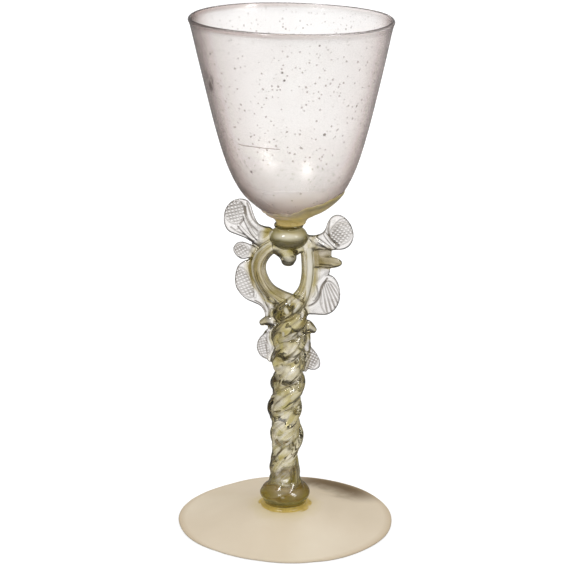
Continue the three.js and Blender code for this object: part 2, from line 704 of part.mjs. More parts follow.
// The wings of each side, from the top down. Each has its root on what carries it, and its disc so far out
// and up from there. The upper wings spring from a shoulder, the others from the thread beside arm or rope.
const WINGS = [
  {
    name: "left_upper_wing",
    side: -1,
    root: onShoulder("left_shoulder", -1),
    rootHalf: 4.4,
    out: 8.5,
    up: 8.2,
    radius: 6.0,
    opening: 42,
    turn: 8,
  },
  {
    name: "left_small_wing",
    side: -1,
    root: besideArm(-1, 0.72),
    rootHalf: 1.7,
    out: 4.1,
    up: 0.2,
    radius: 3.0,
    turn: -14,
  },
  {
    name: "left_middle_wing",
    side: -1,
    root: besideArm(-1, 0.35),
    out: -1.0,
    up: 1.7,
    radius: 7.4,
    tall: 8.2,
    inset: 6,
  },
  {
    name: "left_spur",
    side: -1,
    root: besideRope(-1, 6.0),
    rootHalf: 1.9,
    out: 3.1,
    up: -1.0,
    radius: 0.9,
    opening: 85,
    upright: true,
    turn: -6,
    thickness: SPUR_THICKNESS,
  },
  {
    name: "left_lower_wing",
    side: -1,
    root: besideRope(-1, 15.3),
    out: -0.5,
    up: 0,
    radius: 4.5,
    tall: 4.9,
    inset: 0,
  },
  {
    name: "right_upper_wing",
    side: 1,
    root: onShoulder("right_shoulder", 1),
    rootHalf: 3.2,
    out: 8.2,
    up: 4.4,
    radius: 6.0,
    opening: 40,
    turn: -8,
  },
  {
    name: "right_leaf",
    side: 1,
    root: besideArm(1, 0.64),
    rootHalf: 2.0,
    out: 7.5,
    up: -1.1,
    radius: 1.2,
    opening: 85,
    turn: 10,
    thickness: SPUR_THICKNESS,
  },
  {
    name: "right_middle_wing",
    side: 1,
    root: besideArm(1, 0.17),
    out: 3.8,
    up: 1.3,
    radius: 7.0,
    tall: 6.9,
    inset: 2,
  },
  {
    name: "right_spur",
    side: 1,
    root: besideRope(1, 8.7),
    rootHalf: 2.4,
    out: 1.8,
    up: -1.4,
    radius: 1.2,
    opening: 85,
    upright: true,
    turn: 6,
    thickness: SPUR_THICKNESS,
  },
  {
    name: "right_lower_wing",
    side: 1,
    root: besideRope(1, 19.6),
    out: -0.2,
    up: 0,
    radius: 4.1,
    tall: 4.8,
    inset: 0,
  },
];

function wing({ side, root, out, up, turn = 0, thickness = WING_THICKNESS, ...form }, grow) {
  const disc = new THREE.Vector2(root.x + side * out, root.y + up);
  const shape = form.tall ? lobeShape({ side, root, disc, ...form }) : wingShape({ root, disc, ...form });
  return blade(shape, { thickness, root, turn, grow });
}

// A web of glass along the thread, between two shares of the heart's height.
function web({ side, shares, width }, grow) {
  const inner = shares.map((share) => besideArm(side, share));
  const outer = inner.map(({ x, y }) => new THREE.Vector2(x + side * (width - WING_EDGE), y)).reverse();
  return blade(new THREE.Shape([...inner, ...outer]), { thickness: WING_THICKNESS, root: inner[0], grow });
}

// Materials
const paint = (color, roughness) => new THREE.MeshStandardMaterial({ color, roughness, metalness: 0 });
const BOWL_GLASS = paint(0xd9cdd0, 0.08);
const STEM_GLASS = paint(0x9c9770, 0.08);
const CLEAR_GLASS = paint(0xd8d5cf, 0.1);
const FOOT_GLASS = paint(0xd3c6b2, 0.25);
const RESIN = paint(0xb9a868, 0.3);

// The assembly: each piece is cut back by the pieces placed before it, with the clearance between them.
const goblet = new THREE.Group();
const placed = [];

function place(name, shape, material) {
  const body = placed.reduce((left, other) => left.subtract(other), solidOf(shape(0)));
  const mesh = new THREE.Mesh(geometryOf(largest(body)), material.clone());
  mesh.name = name;
  goblet.add(mesh);
  placed.push(solidOf(shape(CLEARANCE)));
}

place("foot", foot, FOOT_GLASS);
place("foot_knop", footKnop, STEM_GLASS);
place("bowl", bowl, BOWL_GLASS);
place("ball_knop", ballKnop, STEM_GLASS);
place("right_strand", (grow) => strand(1, grow), STEM_GLASS);
place("left_strand", (grow) => strand(-1, grow), STEM_GLASS);
place("collar", collar, STEM_GLASS);
place("neck", neck, RESIN);
place("pontil_scar", pontilScar, FOOT_GLASS);
place("foot_resin", footResin, RESIN);
place("bowl_resin", bowlResin, RESIN);
place("pendant_drop", pendantDrop, STEM_GLASS);
place("pendant_pad", (grow) => besideBall("pendant_pad", 1, grow), STEM_GLASS);
place("left_shoulder", (grow) => besideBall("left_shoulder", -1, grow), STEM_GLASS);
place("right_shoulder", (grow) => besideBall("right_shoulder", 1, grow), STEM_GLASS);
for (const each of CRESTS) place(each.name, (grow) => crest(each, grow), CLEAR_GLASS);
for (const each of WINGS) place(each.name, (grow) => wing(each, grow), CLEAR_GLASS);
for (const each of WEBS) place(each.name, (grow) => web(each, grow), CLEAR_GLASS);

export default goblet;
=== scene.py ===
import math

import bpy
import numpy as np
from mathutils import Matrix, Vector
from mathutils.kdtree import KDTree

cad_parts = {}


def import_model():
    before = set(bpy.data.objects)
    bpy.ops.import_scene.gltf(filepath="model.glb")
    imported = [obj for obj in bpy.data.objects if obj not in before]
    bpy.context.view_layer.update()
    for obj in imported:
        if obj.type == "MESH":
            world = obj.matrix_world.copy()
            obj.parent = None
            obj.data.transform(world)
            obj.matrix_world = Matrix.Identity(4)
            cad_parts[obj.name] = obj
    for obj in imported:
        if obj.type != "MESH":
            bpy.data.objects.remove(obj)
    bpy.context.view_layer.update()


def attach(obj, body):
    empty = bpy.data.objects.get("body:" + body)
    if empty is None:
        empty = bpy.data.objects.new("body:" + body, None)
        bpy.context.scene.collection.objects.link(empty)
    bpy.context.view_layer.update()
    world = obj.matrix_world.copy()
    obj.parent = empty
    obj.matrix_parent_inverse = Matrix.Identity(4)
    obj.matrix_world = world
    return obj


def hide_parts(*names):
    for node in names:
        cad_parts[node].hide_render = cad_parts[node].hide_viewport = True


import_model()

MM = 0.001
FULL_TURN = 2 * math.pi

# Heights and sizes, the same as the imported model's
FOOT_RADIUS = 38.6
FOOT_EDGE = 0.8
FOOT_RISE = 6.4
FOOT_WALL = 2.4
FOOT_REST = 1.8
KNOP_RADIUS = 8.7
KNOP_TOP = 15.8
ROPE_BASE = 16.1
ROPE_LENGTH = 65.0
ROPE_PITCH = 17.6
STEM_LEAN = 1.7
CROSSING = 81.1
HEART_HEIGHT = 24.8
HEART_LEFT = 10.7
HEART_RIGHT = 6.1
BALL_CENTRE = 105.9
BALL_X = 1.3
BALL_RADIUS = 6.2
BALL_HALF_HEIGHT = 4.0
COLLAR_BASE = 109.7
BOWL_BASE = 114.0
BOWL_RADIUS = 34.4
BOWL_HEIGHT = 66.5

# How far the bowl's upper part falls to the right, for each mm from the middle
BOWL_FALL = 0.019
# The wings stand this much above the outlines given for them
WINGS_UP = 0.9


# Numbers and curves


def smoothstep(value, start, end):
    """Rises from 0 at the start to 1 at the end, or falls with height where the start is the higher."""
    share = np.clip((np.asarray(value, float) - start) / (end - start), 0, 1)
    return share * share * (3 - 2 * share)


def lerp(a, b, share):
    return a + (b - a) * share


def bump(away, width):
    """1 where away is 0, and next to nothing from two widths on."""
    return np.exp(-((away / width) ** 2))


def spread(count, at, values):
    """Values at their shares of a length, drawn out to a number of even steps."""
    return np.interp(np.linspace(0, 1, count), at, values)


def run_along(path):
    """How far along the path each of its points is."""
    return np.concatenate([[0], np.cumsum(np.linalg.norm(np.diff(path, axis=0), axis=1))])


def heading_of(path):
    ahead = np.gradient(path, axis=0)
    return ahead / np.linalg.norm(ahead, axis=1)[:, None]


def bearing_of(away, ahead):
    """Bearing round a rod: 0 at its front, growing to its right as seen from the front."""
    return np.arctan2(away[:, 0] * ahead[..., 2] - away[:, 2] * ahead[..., 0], -away[:, 1])


def through(points, count, closed=False):
    """Points spread evenly along a smooth curve through the given ones."""
    given = np.asarray(points, float)
    if closed:
        padded = np.vstack([given[-1:], given, given[:2]])
    else:
        padded = np.vstack([2 * given[0] - given[1], given, 2 * given[-1] - given[-2]])
    t = np.linspace(0, 1, 24, endpoint=False)[:, None]
    fine = []
    for p0, p1, p2, p3 in zip(padded, padded[1:], padded[2:], padded[3:]):
        curve = 2 * p1 + (p2 - p0) * t + (2 * p0 - 5 * p1 + 4 * p2 - p3) * t**2
        fine.append(0.5 * (curve + (3 * p1 - p0 - 3 * p2 + p3) * t**3))
    fine = np.vstack(fine + [padded[-2:-1]])
    run = run_along(fine)
    stops = np.linspace(0, run[-1], count, endpoint=not closed)
    return np.stack([np.interp(stops, run, column) for column in fine.T], axis=1)


def ripple(seed, *coords):
    """A smooth, repeatable unevenness between about -1 and 1."""
    rng = np.random.default_rng(seed)
    total = 0
    for _ in range(4):
        pace = rng.uniform(-1, 1, len(coords))
        total = total + np.sin(sum(w * c for w, c in zip(pace, coords)) + rng.uniform(0, 6.28))
    return total / 4


def raised(points):
    """Points of a wing or a thread at their final height, which is the last number of each."""
    points = np.array(points, float)
    points[..., -1] += WINGS_UP
    return points


# Meshes


def bearings(count):
    return np.linspace(0, FULL_TURN, count, endpoint=False)


def signed_degrees(angle):
    return (np.degrees(angle) + 180) % 360 - 180


def around(radius, angle, height, x=0.0):
    """Points at a radius and angle about the upright through x."""
    return np.stack([x + radius * np.cos(angle), radius * np.sin(angle), height], axis=-1)


def skin(rings, closed=False):
    """Points and faces of a skin over rings of points, with a pole at each end or closed on itself."""
    rows, columns = rings.shape[:2]
    points = rings.reshape(-1, 3)
    faces = []
    for i in range(rows if closed else rows - 1):
        here, there = i * columns, (i + 1) % rows * columns
        for k in range(columns):
            n = (k + 1) % columns
            faces.append((here + k, here + n, there + n, there + k))
    if closed:
        return points, faces
    top = len(points) - columns
    for k in range(columns):
        n = (k + 1) % columns
        faces += [(len(points), n, k), (len(points) + 1, top + k, top + n)]
    return np.vstack([points, rings[0].mean(axis=0), rings[-1].mean(axis=0)]), faces


def turned(profile, sides, shape=None, x=0.0):
    """Rings of a profile of [radius, height] points turned about the upright through x."""
    profile = np.asarray(profile, float)
    angle = bearings(sides)[None, :]
    r = np.maximum(profile[:, :1], 0.02) + 0 * angle
    z = profile[:, 1:] + 0 * angle
    if shape:
        r, z = shape(r, z, angle)
    return around(r, angle, z, x)


def tube(path, radii, sides, section=None, blunt=4):
    """Points and faces of a rod along a path, its ends rounded in a number of blunt steps.

    section(bearing) is the share of the radius at each bearing.
    """
    radii = np.broadcast_to(np.asarray(radii, float), len(path))
    heading = heading_of(path)
    across = np.cross(heading[0], [0.0, 1.0, 0.0])
    theta = bearings(sides)
    rings = []
    for point, ahead, radius in zip(path, heading, radii):
        across = across - ahead * (across @ ahead)
        across /= np.linalg.norm(across)
        spokes = np.outer(np.cos(theta), across) + np.outer(np.sin(theta), np.cross(ahead, across))
        share = section(bearing_of(spokes, ahead)) if section else 1.0
        rings.append(point + radius * np.reshape(share, (-1, 1)) * spokes)
    caps = []
    for end, sign in ((0, -1), (-1, 1)):
        cap = []
        for angle in 0.5 * math.pi * np.arange(1, blunt + 1) / (blunt + 0.6):
            shift = sign * heading[end] * radii[end] * 0.6 * math.sin(angle)
            cap.append(path[end] + shift + (rings[end] - path[end]) * math.cos(angle))
        caps.append(cap)
    return skin(np.array(caps[0][::-1] + rings + caps[1]))


def fused(parts, voxel):
    """Points and faces of closed parts melted into one skin."""
    faces, start = [], 0
    for part_points, part_faces in parts:
        faces += [tuple(k + start for k in f) for f in part_faces]
        start += len(part_points)
    mesh = bpy.data.meshes.new("melt")
    mesh.from_pydata((np.vstack([part[0] for part in parts]) * MM).tolist(), [], faces)
    rough = bpy.data.objects.new("melt", mesh)
    bpy.context.scene.collection.objects.link(rough)
    remesh = rough.modifiers.new("melt", "REMESH")
    remesh.mode = "VOXEL"
    remesh.voxel_size = voxel * MM
    solid = rough.evaluated_get(bpy.context.evaluated_depsgraph_get())
    melted = solid.to_mesh()
    points = np.empty(len(melted.vertices) * 3)
    melted.vertices.foreach_get("co", points)
    faces = [tuple(p.vertices) for p in melted.polygons]
    solid.to_mesh_clear()
    bpy.data.objects.remove(rough)
    bpy.data.meshes.remove(mesh)
    return points.reshape(-1, 3) / MM, faces


def relaxed(points, faces, rounds, share):
    """Evens out a skin of four-cornered faces without shrinking it, each point by its share."""
    corners = np.asarray(faces)
    ends = np.concatenate([corners[:, [k, (k + 1) % 4]] for k in range(4)])
    one, two = ends.ravel(), ends[:, ::-1].ravel()
    links = np.bincount(one, minlength=len(points))[:, None]
    share = share[:, None]
    for i in range(rounds):
        for step in (0.6, -0.62 if i >= rounds // 3 else 0.0):
            mean = np.stack([np.bincount(one, points[two, k], len(points)) for k in range(3)], axis=1)
            points = points + step * share * (mean / links - points)
    return points


def normals_of(points, faces):
    """Outward normals of a closed skin of four-cornered faces."""
    corners = np.asarray(faces)
    a, b, c, d = (points[corners[:, k]] for k in range(4))
    flat = np.cross(c - a, d - b)
    sums = [np.bincount(corners.ravel(), np.repeat(flat[:, k], 4), len(points)) for k in range(3)]
    total = np.stack(sums, axis=1)
    total /= np.maximum(np.linalg.norm(total, axis=1), 1e-12)[:, None]
    swell = np.einsum("ij,ij->i", points[corners[:, 0]], flat).sum()
    return total if swell > 0 else -total


def beside(points, path):
    """Distance of each point from a path, how far along the path that is, and the bearing round it."""
    tree = KDTree(len(path))
    for i, place in enumerate(path):
        tree.insert(place, i)
    tree.balance()
    nearest = np.array([tree.find(place)[1:] for place in points.tolist()])
    index, distance = nearest[:, 0].astype(int), nearest[:, 1]
    ahead = heading_of(path)[index]
    away = points - path[index]
    away -= ahead * np.einsum("ij,ij->i", away, ahead)[:, None]
    return distance, run_along(path)[index], bearing_of(away, ahead)


# Distances from the rim at which a plate has a ring of points, and the rounding of the rim
EDGE_STEPS = np.array([0.0, 0.03, 0.08, 0.16, 0.27, 0.42, 0.62, 0.9])
EDGE_ROUNDING = 0.6


def plate(outline, centre, half, columns, rows):
    """Points and faces of a flat piece of glass in the plane of the heart.

    The outline is a closed loop of [x, z] points that can all be seen from the centre, and half(x, z, s) is
    half the thickness, where s runs from 0 at the centre to 1 at the outline.
    """
    rim, centre = through(raised(outline), columns, closed=True), raised(centre)
    reach = np.linalg.norm(rim - centre, axis=1)
    edge = 1 - EDGE_STEPS[:, None] / reach
    s = np.vstack([edge, edge[-1] * (1 - np.arange(1, rows)[:, None] / rows)])
    flat = centre + s[:, :, None] * (rim - centre)
    x, z = flat[:, :, 0], flat[:, :, 1]
    inset = np.clip((1 - s) * reach / EDGE_ROUNDING, 0, 1)
    thick = np.maximum(half(x, z, s), 0.12) * np.sqrt(1 - (1 - inset) ** 2)
    front, back = (np.stack([x, side * thick, z], axis=2) for side in (-1, 1))
    return skin(np.vstack([front[::-1], back[1:]]))


def from_line(value, pitch):
    """Signed distance from the nearest of evenly spaced lines."""
    return (value + pitch / 2) % pitch - pitch / 2


def grid_relief(centre, radii, pitch, angle, depth=0.33, width=0.24, fan=None):
    """Grooves pressed by pincers inside an oval: a lattice, or ribs that spread from a point.

    fan is the place of that point and the bearing of one rib, and the pitch is then in degrees.
    """
    c, s = math.cos(math.radians(angle)), math.sin(math.radians(angle))
    middle = raised(centre)

    def relief(x, z):
        dx, dz = x - middle[0], z - middle[1]
        u = c * dx + s * dz + 0.3 * ripple(61, 0.9 * x, 0.9 * z)
        w = -s * dx + c * dz + 0.3 * ripple(62, 0.9 * x, 0.9 * z)
        oval = np.hypot(u / radii[0], w / radii[1])
        if fan:
            start = raised(fan[0])
            dx, dz = x - start[0], z - start[1]
            aside = from_line(np.degrees(np.arctan2(dz, dx)) - fan[1], pitch)
            lines = bump(np.radians(aside) * np.hypot(dx, dz), width)
        else:
            lines = np.maximum(bump(from_line(u, pitch), width), bump(from_line(w, pitch), width))
        pressed = 0.72 + 0.4 * ripple(63, 0.7 * x, 0.7 * z)
        border = bump((oval - 1) * min(radii), width)
        return -depth * np.maximum(lines * smoothstep(oval, 1.0, 0.86) * pressed, 0.5 * border)

    return relief


# Materials


class Graph:
    """The nodes of a material or of the world, under short names."""

    def __init__(self, owner):
        owner.use_nodes = True
        self.owner, self.tree = owner, owner.node_tree

    def feed(self, socket, value):
        if isinstance(value, bpy.types.NodeSocket):
            self.tree.links.new(value, socket)
        else:
            socket.default_value = value

    def add(self, kind, inputs=(), **settings):
        """The outputs of a new node."""
        node = self.tree.nodes.new("ShaderNode" + kind)
        for name, value in settings.items():
            setattr(node, name, value)
        for name, value in dict(inputs).items():
            self.feed(node.inputs[name], value)
        return node.outputs

    def math(self, operation, a, b=0.0, c=0.0):
        return self.add("Math", {0: a, 1: b, 2: c}, operation=operation)[0]

    def plus(self, a, b):
        return self.math("ADD", a, b)

    def minus(self, a, b):
        return self.math("SUBTRACT", a, b)

    def times(self, a, b):
        return self.math("MULTIPLY", a, b)

    def size(self, value):
        return self.math("ABSOLUTE", value)

    def vector(self, operation, a, b=(0, 0, 0)):
        return self.add("VectorMath", {0: a, 1: b}, operation=operation)

    def span(self, value, low, high, start=0.0, end=1.0, kind="LINEAR"):
        """Runs from start to end while the value goes from low to high."""
        inputs = {0: value, 1: low, 2: high, 3: start, 4: end}
        return self.add("MapRange", inputs, interpolation_type=kind)[0]

    def rise(self, value, low, high, start=0.0, end=1.0, kind="LINEAR"):
        """The same, with low and high in mm."""
        return self.span(value, low * MM, high * MM, start, end, kind)

    def mix(self, share, a, b, blend="MIX"):
        a, b = (v if isinstance(v, bpy.types.NodeSocket) else (*v, 1) for v in (a, b))
        return self.add("Mix", {0: share, 6: a, 7: b}, data_type="RGBA", blend_type=blend)[2]

    def ramp(self, value, *stops):
        out = self.add("ValToRGB", {"Fac": value})["Color"]
        elements = out.node.color_ramp.elements
        while len(elements) < len(stops):
            elements.new(0.5)
        for element, (place, *colour) in zip(elements, stops):
            element.position = place
            element.color = (*colour, 1)
        return out

    def noise(self, place, scale, detail=3.0, roughness=0.5, distortion=0.0):
        inputs = {"Vector": place, "Scale": scale, "Detail": detail}
        return self.add("TexNoise", {**inputs, "Roughness": roughness, "Distortion": distortion})["Fac"]


class Look(Graph):
    """The material of one slot."""

    def __init__(self, slot):
        super().__init__(bpy.data.materials.new(slot))
        self.shader = self.tree.nodes["Principled BSDF"]
        self.output = self.tree.nodes["Material Output"].inputs
        self.place = self.add("TexCoord")["Object"]
        self.x, self.y, self.z = self.add("SeparateXYZ", {0: self.place})

    def put(self, **values):
        """Gives the shader's sockets their values, with _ for a space in a name."""
        for name, value in values.items():
            self.feed(self.shader.inputs[name.replace("_", " ")], value)

    def read(self, name):
        """A number painted on the piece."""
        return self.add("Attribute", attribute_name=name)["Fac"]

    def waves(self, *layers):
        """Unevenness of the skin as bump, in layers of noise: scale, and height in mm."""
        inputs = {"Strength": 1.0}
        for scale, height in layers:
            inputs.update({"Distance": height * MM, "Height": self.noise(self.place, scale, 2.0)})
            inputs["Normal"] = self.add("Bump", inputs)["Normal"]
        self.put(Normal=inputs["Normal"])

    def specks(self, place, cell, size, share):
        """A mask of round specks of uneven size up to that one, one to a cell in a share of the cells."""
        cells = self.add("TexVoronoi", {"Vector": place, "Scale": 1 / (cell * MM), "Randomness": 1.0})
        pick = self.add("SeparateColor", {"Color": cells["Color"]})
        radius = self.times(self.times(pick[1], size / cell), self.math("LESS_THAN", pick[0], share))
        inside = self.minus(radius, cells["Distance"])
        return self.span(inside, 0.0, 0.25 * size / cell, kind="SMOOTHSTEP")

    def lit_through(self, *tint):
        """Lets the lamps shine through the glass, which otherwise casts a black shadow."""
        open_way = self.add("BsdfTransparent", {"Color": (*tint, 1)})[0]
        shadow = self.add("LightPath")["Is Shadow Ray"]
        both = self.add("MixShader", {0: shadow, 1: self.shader.outputs[0], 2: open_way})[0]
        self.feed(self.output["Surface"], both)


def glass(slot, swallow, waves):
    """Clear glass that swallows light inside, by colour and amount per metre, and how far it turns away."""
    look = Look(slot)
    look.put(IOR=1.5)
    look.waves(*waves)
    colour, per_metre = swallow
    inside = look.add("VolumeAbsorption", {"Color": (*colour, 1), "Density": per_metre})[0]
    look.feed(look.output["Volume"], inside)
    look.lit_through(0.9, 0.89, 0.86)
    return look, look.add("LayerWeight", {"Blend": 0.5})["Facing"]


# Smoky inclusions in the bowl: middle in metres, squeeze upwards and strength
INCLUSIONS = [
    ((-0.0246, -0.0131, 0.1605), 0.5, 1.0),
    ((-0.0257, -0.0121, 0.1642), 0.6, 0.5),
    ((-0.0241, -0.0151, 0.1633), 0.6, 0.45),
]
# Ends of the scratch at the front of the bowl, as x and height in mm
SCRATCH = ((-15.3, 142.0), (-1.5, 141.7))

# Tones of the bowl's right and left half, from where it faces the eye to where it turns away; the left
# half's darker tones are painted shade on that side
BOWL_RIGHT = [
    (0.0, 0.95, 0.94, 0.93),
    (0.2, 0.94, 0.925, 0.915),
    (0.43, 0.925, 0.89, 0.875),
    (0.53, 0.87, 0.805, 0.785),
    (0.64, 0.73, 0.645, 0.62),
    (0.74, 0.46, 0.38, 0.36),
    (1.0, 0.32, 0.25, 0.24),
]
BOWL_LEFT_SHADED = [
    (0.0, 0.95, 0.94, 0.93),
    (0.2, 0.93, 0.91, 0.9),
    (0.43, 0.815, 0.775, 0.755),
    (0.53, 0.7, 0.63, 0.605),
    (0.64, 0.465, 0.385, 0.36),
    (0.74, 0.25, 0.195, 0.175),
    (1.0, 0.15, 0.11, 0.1),
]
# Tones of the stem's thick glass and of its colourless wings in the same way, and of its inner streaks,
# whose whitest tones are painted highlights and darkest tones painted shade
OLIVE = [(0.0, 1.0, 1.0, 1.0), (0.1, 0.9, 0.9, 0.88), (0.25, 0.68, 0.66, 0.57), (0.5, 0.41, 0.38, 0.26),
         (1.0, 0.15, 0.13, 0.06)]
COLOURLESS = [(0.0, 0.91, 0.89, 0.895), (0.04, 0.84, 0.82, 0.825), (0.1, 0.5, 0.48, 0.47),
              (0.2, 0.26, 0.24, 0.23), (0.5, 0.18, 0.16, 0.15), (1.0, 0.1, 0.09, 0.08)]
STREAKS_AND_HIGHLIGHTS = [(0.31, 0.34, 0.27, 0.06), (0.4, 0.58, 0.51, 0.25), (0.48, 0.78, 0.73, 0.58),
           (0.54, 0.91, 0.87, 0.81), (0.6, 0.99, 0.96, 0.95)]
# Tones of the foot's clouded glass and of the resin's streaks
FOOT_CLOUDS = [(0.3, 0.62, 0.52, 0.38), (0.5, 0.66, 0.56, 0.42), (0.72, 0.70, 0.61, 0.47)]
RESIN_STREAKS = [(0.3, 0.6, 0.48, 0.14), (0.5, 0.84, 0.7, 0.28), (0.7, 0.96, 0.86, 0.48)]

RIM_SHADE = (0.62, 0.54, 0.52)
LOW_SHADE = (0.74, 0.66, 0.62)
HAZE_SHADE = (0.8, 0.72, 0.71)
SMALL_SPECK = (0.3, 0.24, 0.21)
LARGE_SPECK = (0.1, 0.07, 0.06)
INCLUSION = (0.05, 0.03, 0.02)
SCRATCHED = (0.3, 0.22, 0.18)
DEEP_SHADE = (0.52, 0.46, 0.31)
MILK_AND_HIGHLIGHT = (0.94, 0.9, 0.79)
GOLD = (0.33, 0.29, 0.05)
GROOVE_SHADE = (0.14, 0.105, 0.06)
FOOT_STAIN = (0.58, 0.48, 0.22)
FOOT_BACK_SHADE = (0.12, 0.07, 0.018)
FOOT_RIM = (0.42, 0.3, 0.16)
FOOT_SPECK = (0.4, 0.33, 0.24)
FILLET_SHADE = (0.71, 0.63, 0.35)
RESIN_LINE = (0.3, 0.23, 0.07)
RESIN_FADED = (0.6, 0.52, 0.47)


def bowl_marks(look, tone):
    """The dark rim, the smoky inclusions near the left edge and a fine scratch at the front."""
    level = look.math("MULTIPLY_ADD", look.x, BOWL_FALL, look.z)
    rim = look.times(look.rise(level, 179.4, 180.3), look.rise(look.x, 30, -30, 0.35, 1.0))
    tone = look.mix(rim, tone, RIM_SHADE, "MULTIPLY")
    for middle, high, strength in INCLUSIONS:
        off = look.vector("SUBTRACT", look.place, middle)[0]
        off = look.vector("MULTIPLY", off, (1.0, 0.6, high))[0]
        away = look.vector("LENGTH", off)["Value"]
        away = look.math("MULTIPLY_ADD", look.noise(look.place, 700), 1.6 * MM, away)
        tone = look.mix(look.rise(away, 2.2, 1.3, 0.0, strength), tone, INCLUSION)
    (x0, z0), (x1, z1) = SCRATCH
    along = look.rise(look.x, x0, x1, z0 * MM, z1 * MM)
    wobble = look.math("MULTIPLY_ADD", look.noise(look.place, 260, 2.0), 1.2 * MM, along)
    thin = look.rise(look.size(look.minus(look.z, wobble)), 0.22, 0.06)
    aside = look.size(look.minus(look.x, (x0 + x1) / 2 * MM))
    within = look.math("LESS_THAN", aside, (x1 - x0) / 2 * MM)
    front = look.math("LESS_THAN", look.y, 0.0)
    line = look.times(look.times(thin, within), front)
    return look.mix(look.times(line, 0.7), tone, SCRATCHED)


def bowl_look():
    look, facing = glass("bowl_glass", ((0.4, 0.1, 0.1), 4.0), ((60, 0.12), (400, 0.01)))
    place, x, z = look.place, look.x, look.z
    # Towards the left the darker tones take over, as painted shade on that side
    side = look.rise(x, 10, -12, kind="SMOOTHSTEP")
    tone = look.mix(side, look.ramp(facing, *BOWL_RIGHT), look.ramp(facing, *BOWL_LEFT_SHADED))
    low = look.times(look.rise(z, 152, 120), look.span(facing, 0.4, 0.7))
    tone = look.mix(low, tone, LOW_SHADE, "MULTIPLY")
    cloud = look.span(look.noise(place, 70, 3.0, 0.6), 0.45, 0.75, 0.0, 0.12)
    tone = look.mix(cloud, tone, HAZE_SHADE, "MULTIPLY")
    small = look.times(look.specks(place, 1.5, 0.5, 0.75), look.rise(z, 180, 172, 0.25, 0.85))
    tone = look.mix(small, tone, SMALL_SPECK)
    aside = look.vector("ADD", place, (0.0313, 0.0171, 0.0077))[0]
    tone = look.mix(look.specks(aside, 6.0, 0.68, 0.4), tone, LARGE_SPECK)
    cleared = look.rise(z, BOWL_BASE, BOWL_BASE + 26, 0.55, 0.92)
    look.put(Base_Color=bowl_marks(look, tone), Transmission_Weight=cleared, Roughness=0.18)
    return look.owner


def stem_look():
    """Olive, streaky glass in the knop, the rope, the heart and the ball, that clears towards the wings."""
    look, facing = glass("stem_glass", ((0.5, 0.42, 0.0), 40.0), ((180, 0.1), (700, 0.015)))
    edge = look.ramp(facing, *OLIVE)
    flow = look.add("Attribute", attribute_name="flow")["Vector"]
    grain = look.noise(flow, 0.34, 1.5, 0.5, 0.8)
    inputs = {"Vector": flow, "Scale": 0.33, "Smoothness": 0.35}
    cells = look.add("TexVoronoi", inputs, feature="SMOOTH_F1")
    pick = look.add("SeparateColor", {"Color": cells["Color"]})[0]
    streak_and_highlight = look.plus(look.times(grain, 0.75), look.times(pick, 0.25))
    tone = look.mix(1.0, look.ramp(streak_and_highlight, *STREAKS_AND_HIGHLIGHTS), edge, "MULTIPLY")
    tone = look.mix(look.read("deep"), tone, DEEP_SHADE, "MULTIPLY")
    tone = look.mix(look.read("clear"), tone, look.ramp(facing, *COLOURLESS))
    # Whitish glass, and painted highlights on the ball, the crossing, the rope and the knop
    milk_and_highlight = look.read("milk_and_highlight")
    tone = look.mix(milk_and_highlight, tone, look.mix(1.0, MILK_AND_HIGHLIGHT, edge, "MULTIPLY"))
    tone = look.mix(look.read("gold"), tone, GOLD)
    # Painted shade in grooves, seams and pressed lines
    tone = look.mix(look.times(look.read("groove_shade"), 0.8), tone, GROOVE_SHADE)
    # Where the streaks paint highlights, and where the glass is milky, less light goes through, so that
    # these stay white
    cloudy = look.math("MAXIMUM", milk_and_highlight, look.span(streak_and_highlight, 0.58, 0.66, 0.0, 0.25))
    cloudy = look.math("MAXIMUM", cloudy, look.read("haze"))
    dull = look.times(look.read("dull"), 0.2)
    look.put(Base_Color=tone, Transmission_Weight=look.minus(1.0, cloudy), Roughness=dull)
    return look.owner


def foot_look():
    look = Look("foot_glass")
    place, x, y = look.place, look.x, look.y
    tone = look.ramp(look.noise(place, 22, 4.0, 0.55, 0.4), *FOOT_CLOUDS)
    from_middle = look.math("SQRT", look.plus(look.math("POWER", x, 2.0), look.math("POWER", y, 2.0)))
    ragged = look.times(look.noise(place, 160, 4.0, 0.65), 6 * MM)
    stained = look.rise(look.minus(from_middle, ragged), 11, 5)
    tone = look.mix(look.times(stained, 0.5), tone, FOOT_STAIN)
    # Painted shade at the back right of the foot, darkest towards its edge
    to_back_shade = look.plus(look.times(x, 0.56), look.times(y, 0.83))
    to_back_shade = look.math("DIVIDE", to_back_shade, look.math("MAXIMUM", from_middle, 1 * MM))
    sector = look.span(to_back_shade, 0.78, 0.99, kind="SMOOTHSTEP")
    drift = look.times(look.noise(place, 60, 4.0, 0.6, 1.5), 16 * MM)
    outward = look.rise(look.plus(from_middle, drift), 26, 41, kind="SMOOTHSTEP")
    tone = look.mix(look.times(sector, outward), tone, FOOT_BACK_SHADE)
    tone = look.mix(look.times(look.rise(from_middle, 35.5, 38.5), 0.5), tone, FOOT_RIM)
    tone = look.mix(look.times(look.specks(place, 3.5, 0.4, 0.3), 0.5), tone, FOOT_SPECK)
    look.put(Base_Color=tone, Roughness=0.6, Coat_Weight=0.06, Coat_Roughness=0.2)
    look.waves((40, 0.2), (300, 0.01))
    return look.owner


